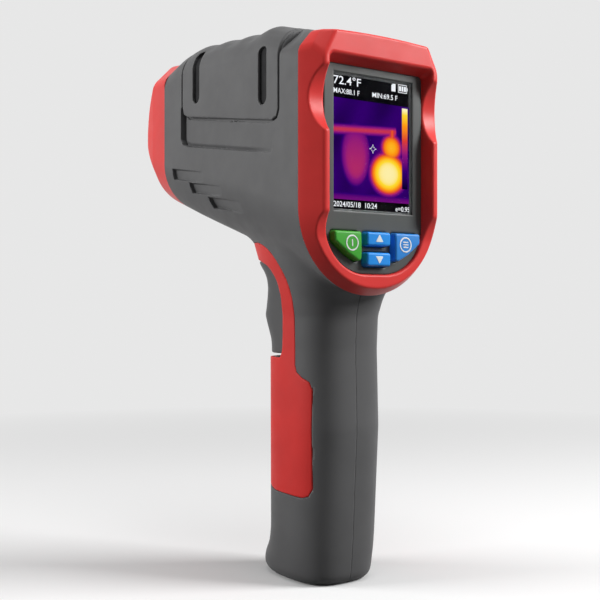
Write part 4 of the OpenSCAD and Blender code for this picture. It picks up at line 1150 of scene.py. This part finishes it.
def build_display_end():
    piece("display_bezel", rear_bezel, rear_low, rear_high, 0.65, "red_plastic", "rear_bezel")
    piece("display_surround", faceplate, face_low, (face_high[0], SEAM_REAR, face_high[2]), 0.6,
          "faceplate_plastic", "faceplate")
    piece("screen_window", display_window, screen_low, screen_high, 0.4, "window_clear", "display_window",
          material=SCREEN_CLEAR)
    for name, crown, slot, mark in (("power_key", KEY_CROWN, "key_green", power_mark),
                                    ("menu_key", KEY_CROWN, "menu_blue", menu_mark),
                                    ("up_key", SMALL_CROWN, "key_blue", arrow_mark(1)),
                                    ("down_key", SMALL_CROWN, "key_blue", arrow_mark(-1))):
        low, high = corners(name)
        piece(name + "_cap", key(KEYS[name], crown), low, high, 0.4, slot, name, name)
        piece(name + "_icon", printed(mark, KEYS[name], crown), (low[0], KEY_FACE - 0.1, low[2]),
              (high[0], KEY_FACE + 0.6, high[2]), 0.16, slot, None, name, MATERIALS["icon_white"])


def build_picture():
    """The thermal picture with its scale, readings and marks."""
    y = GLASS_BACK + 0.15
    lit_sheet("thermal_picture", (-PICTURE_HALF_W, PICTURE[0]), (PICTURE_HALF_W, PICTURE[1]), 110, 100, heat,
              THERMAL, y)
    lit_sheet("temperature_scale", (17.1, SCREEN_Z - 18), (20.4, SCREEN_Z + 17.9), 2, 24,
              lambda u, v: (v + 1) / 2, THERMAL, y - 0.03)
    for reading in READINGS:
        words(*reading)
    top, low = SCREEN_Z + 28.2, SCREEN_Z + 24.8
    middle = (top + low) / 2
    lit_marks("card_icon", [[(10.9, low), (13.3, low), (13.3, top), (11.7, top), (10.9, top - 0.8)]])
    lit_marks("battery_icon", [bar(17.4, top, 2.6, 0.15), bar(17.4, low, 2.6, 0.15),
                               bar(14.95, middle, 0.15, 1.6), bar(19.85, middle, 0.15, 1.6),
                               bar(20.2, middle, 0.2, 0.7),
                               *[bar(x, middle, 0.55, 1.1) for x in (15.95, 17.4, 18.85)]])
    cross_x, cross_z = 0.3, SCREEN_Z - 1.6
    lit_marks("crosshair", [bar(x, cross_z, 0.55, 0.16) for x in (-1.1, 1.7)]
              + [bar(cross_x, cross_z + z, 0.16, 0.55) for z in (-1.4, 1.4)]
              + [bar(cross_x + x, cross_z + z, 0.2, 0.2) for x in (-0.65, 0.65) for z in (-0.65, 0.65)])


def build_lens_end():
    piece("lens_bezel", front_bezel, front_low, front_high, 1.0, "red_plastic", "front_bezel")
    piece("lens_panel", front_panel, panel_low, panel_high, 0.8, "black_plastic", "front_panel")
    middle = (0, 0, LENS_Z)
    seat, front = PANEL_Y - 1, barrel_high[1]
    gasket = PANEL_Y - PANEL_WALL - GASKET_T
    flange = gasket - FLANGE_T
    # the mouth narrows in six steps from the rim towards the lens
    mouth = [(LENS_R + 3.5 - 0.56 * (i + k), front - 0.5 * i - 0.1 * k) for i in range(6) for k in (0, 1)]
    profile = [(BARREL_R - 2, barrel_low[1]), (BARREL_R - 2, flange), (BARREL_R + FLANGE, flange),
               (BARREL_R + FLANGE, gasket), (BARREL_R, gasket), (BARREL_R, front), *mouth,
               (LENS_R + 0.1, front - 3.5), (LENS_R + 0.1, seat), (LENS_R - 2.2, seat),
               (LENS_R - 2.2, barrel_low[1])]
    placed(turned("barrel", profile, middle, "y"), "body", ["lens_barrel"], "barrel_metal")
    lens_low, lens_high = corners("infrared_lens")
    rings = np.linspace(LENS_R, 0, 13)
    dome = [(r, lens_high[1] - LENS_DOME + math.sqrt(LENS_DOME ** 2 - r * r)) for r in rings]
    lens = turned("front_lens", [(0, lens_low[1]), (LENS_R, lens_low[1]), *dome], middle, "y", 0.15)
    placed(lens, "body", ["infrared_lens"], "germanium")
    piece("lens_ring", retainer, ring_low, ring_high, 0.35, "black_plastic", "lens_retainer")
    for name in ("camera_window", "lamp_window"):
        low, high = corners(name)
        disc = [(0, low[1]), (WINDOW_R, low[1]), (WINDOW_R, high[1]), (0, high[1])]
        disc = turned(name + "_disc", disc, ((low[0] + high[0]) / 2, 0, CAMERA_Z), "y", 0.25, 64)
        placed(disc, "body", [name], "window_clear")


def build_foot():
    piece("foot", base_plate, *corners("base_plate"), 0.5, "housing_plastic", "base_plate")
    thread = [(THREAD_OUT if i % 2 else THREAD_IN, 0.6 + HALF_PITCH * i) for i in range(14)]
    profile = [(INSERT_R, 0), (INSERT_R, BOSS_TOP), (THREAD_IN, BOSS_TOP), *thread[::-1], (3.4, 0)]
    insert = turned("tripod_thread", profile, (0, 0, 0), "z", 0.1, 64)
    placed(insert, "body", ["tripod_insert"], "brass")


def dress_cad_nodes():
    """Materials for the CAD nodes that stay as they are."""
    slots = {part["node"]: part["material_slot"] for part in frame["record"]["subparts"]}
    for node, obj in frame["nodes"].items():
        if obj.hide_render:
            continue
        obj.data.materials.clear()
        obj.data.materials.append(MATERIALS[slots[node]])


build_case()
build_display_end()
build_picture()
build_lens_end()
build_foot()
dress_cad_nodes()

# ---------------------------------------------------------------- stage, lights and camera

FLOOR_SEEN, FLOOR_BOUNCE = 0.86, 0.08
FLOOR_FADE = (0.15, 0.75)
BACKDROP, FILL = 0.80, 0.06
FLOOR_HALF = 6


def grey(level):
    return (level,) * 3


# near the object the floor is a lit surface; further off it fades into the backdrop's own tone
stage_material, tree, shader = principled("stage", {
    "Roughness": 0.9, "Specular IOR Level": 0.0, "Emission Strength": 1.0})
ray = tree.nodes.new("ShaderNodeLightPath")
reach = tree.nodes.new("ShaderNodeVectorMath")
reach.operation = "LENGTH"
tree.links.new(tree.nodes.new("ShaderNodeNewGeometry").outputs["Position"], reach.inputs[0])
far = remap(tree, reach.outputs["Value"], *FLOOR_FADE, 0, 1)
near_tone, far_tone = (mixed(tree, ray.outputs["Is Diffuse Ray"], grey(seen), grey(FLOOR_BOUNCE))
                       for seen in (FLOOR_SEEN, BACKDROP))
tree.links.new(mixed(tree, far, near_tone, grey(0)), shader.inputs["Base Color"])
tree.links.new(mixed(tree, far, grey(0), far_tone), shader.inputs["Emission Color"])
floor_mesh = bpy.data.meshes.new("floor")
floor_mesh.from_pydata([(x, y, 0) for x, y in bar(0, 0, FLOOR_HALF, FLOOR_HALF)], [], [(0, 1, 2, 3)])
floor_mesh.materials.append(stage_material)
linked("floor", floor_mesh)

world = bpy.data.worlds.new("studio")
world.use_nodes = True
tree = world.node_tree
ray = tree.nodes.new("ShaderNodeLightPath")
seen = ray.outputs["Is Camera Ray"]
for kind in ("Is Glossy Ray", "Is Transmission Ray"):
    seen = worked_out(tree, "ShaderNodeMath", "MAXIMUM", seen, ray.outputs[kind])
background = tree.nodes["Background"]
tree.links.new(mixed(tree, seen, grey(FILL), grey(BACKDROP)), background.inputs["Color"])
background.inputs["Strength"].default_value = 1.0
bpy.context.scene.world = world

AIM = Vector((0, 0.01, 0.14))


def softbox(name, towards, distance, level, size):
    """A square area lamp at a direction and distance from the object. A white card there that faces it shows
    at about level: a small flat lamp of power P gives P / (pi^2 distance^2)."""
    data = bpy.data.lights.new(name, "AREA")
    data.energy = math.pi ** 2 * distance ** 2 * level
    data.size = size
    lamp = linked(name, data)
    lamp.location = AIM + Vector(towards).normalized() * distance
    lamp.rotation_euler = Vector(towards).to_track_quat("Z", "Y").to_euler()


softbox("side_light", (-0.82, 0.48, 0.3), 1.0, 0.74, 0.5)
softbox("display_light", (0.62, -0.60, 0.5), 1.0, 1.1, 0.4)
softbox("top_light", (-0.1, -0.2, 1), 1.1, 0.42, 0.8)

camera_data = bpy.data.cameras.new("camera")
camera_data.lens = 61.08
camera = linked("camera", camera_data)
camera.location = (-0.2844, -0.3773, 0.1271)
camera.rotation_euler = (math.pi / 2, 0, -math.radians(35.8))
bpy.context.scene.camera = camera
bpy.context.scene.view_settings.view_transform = "Standard"
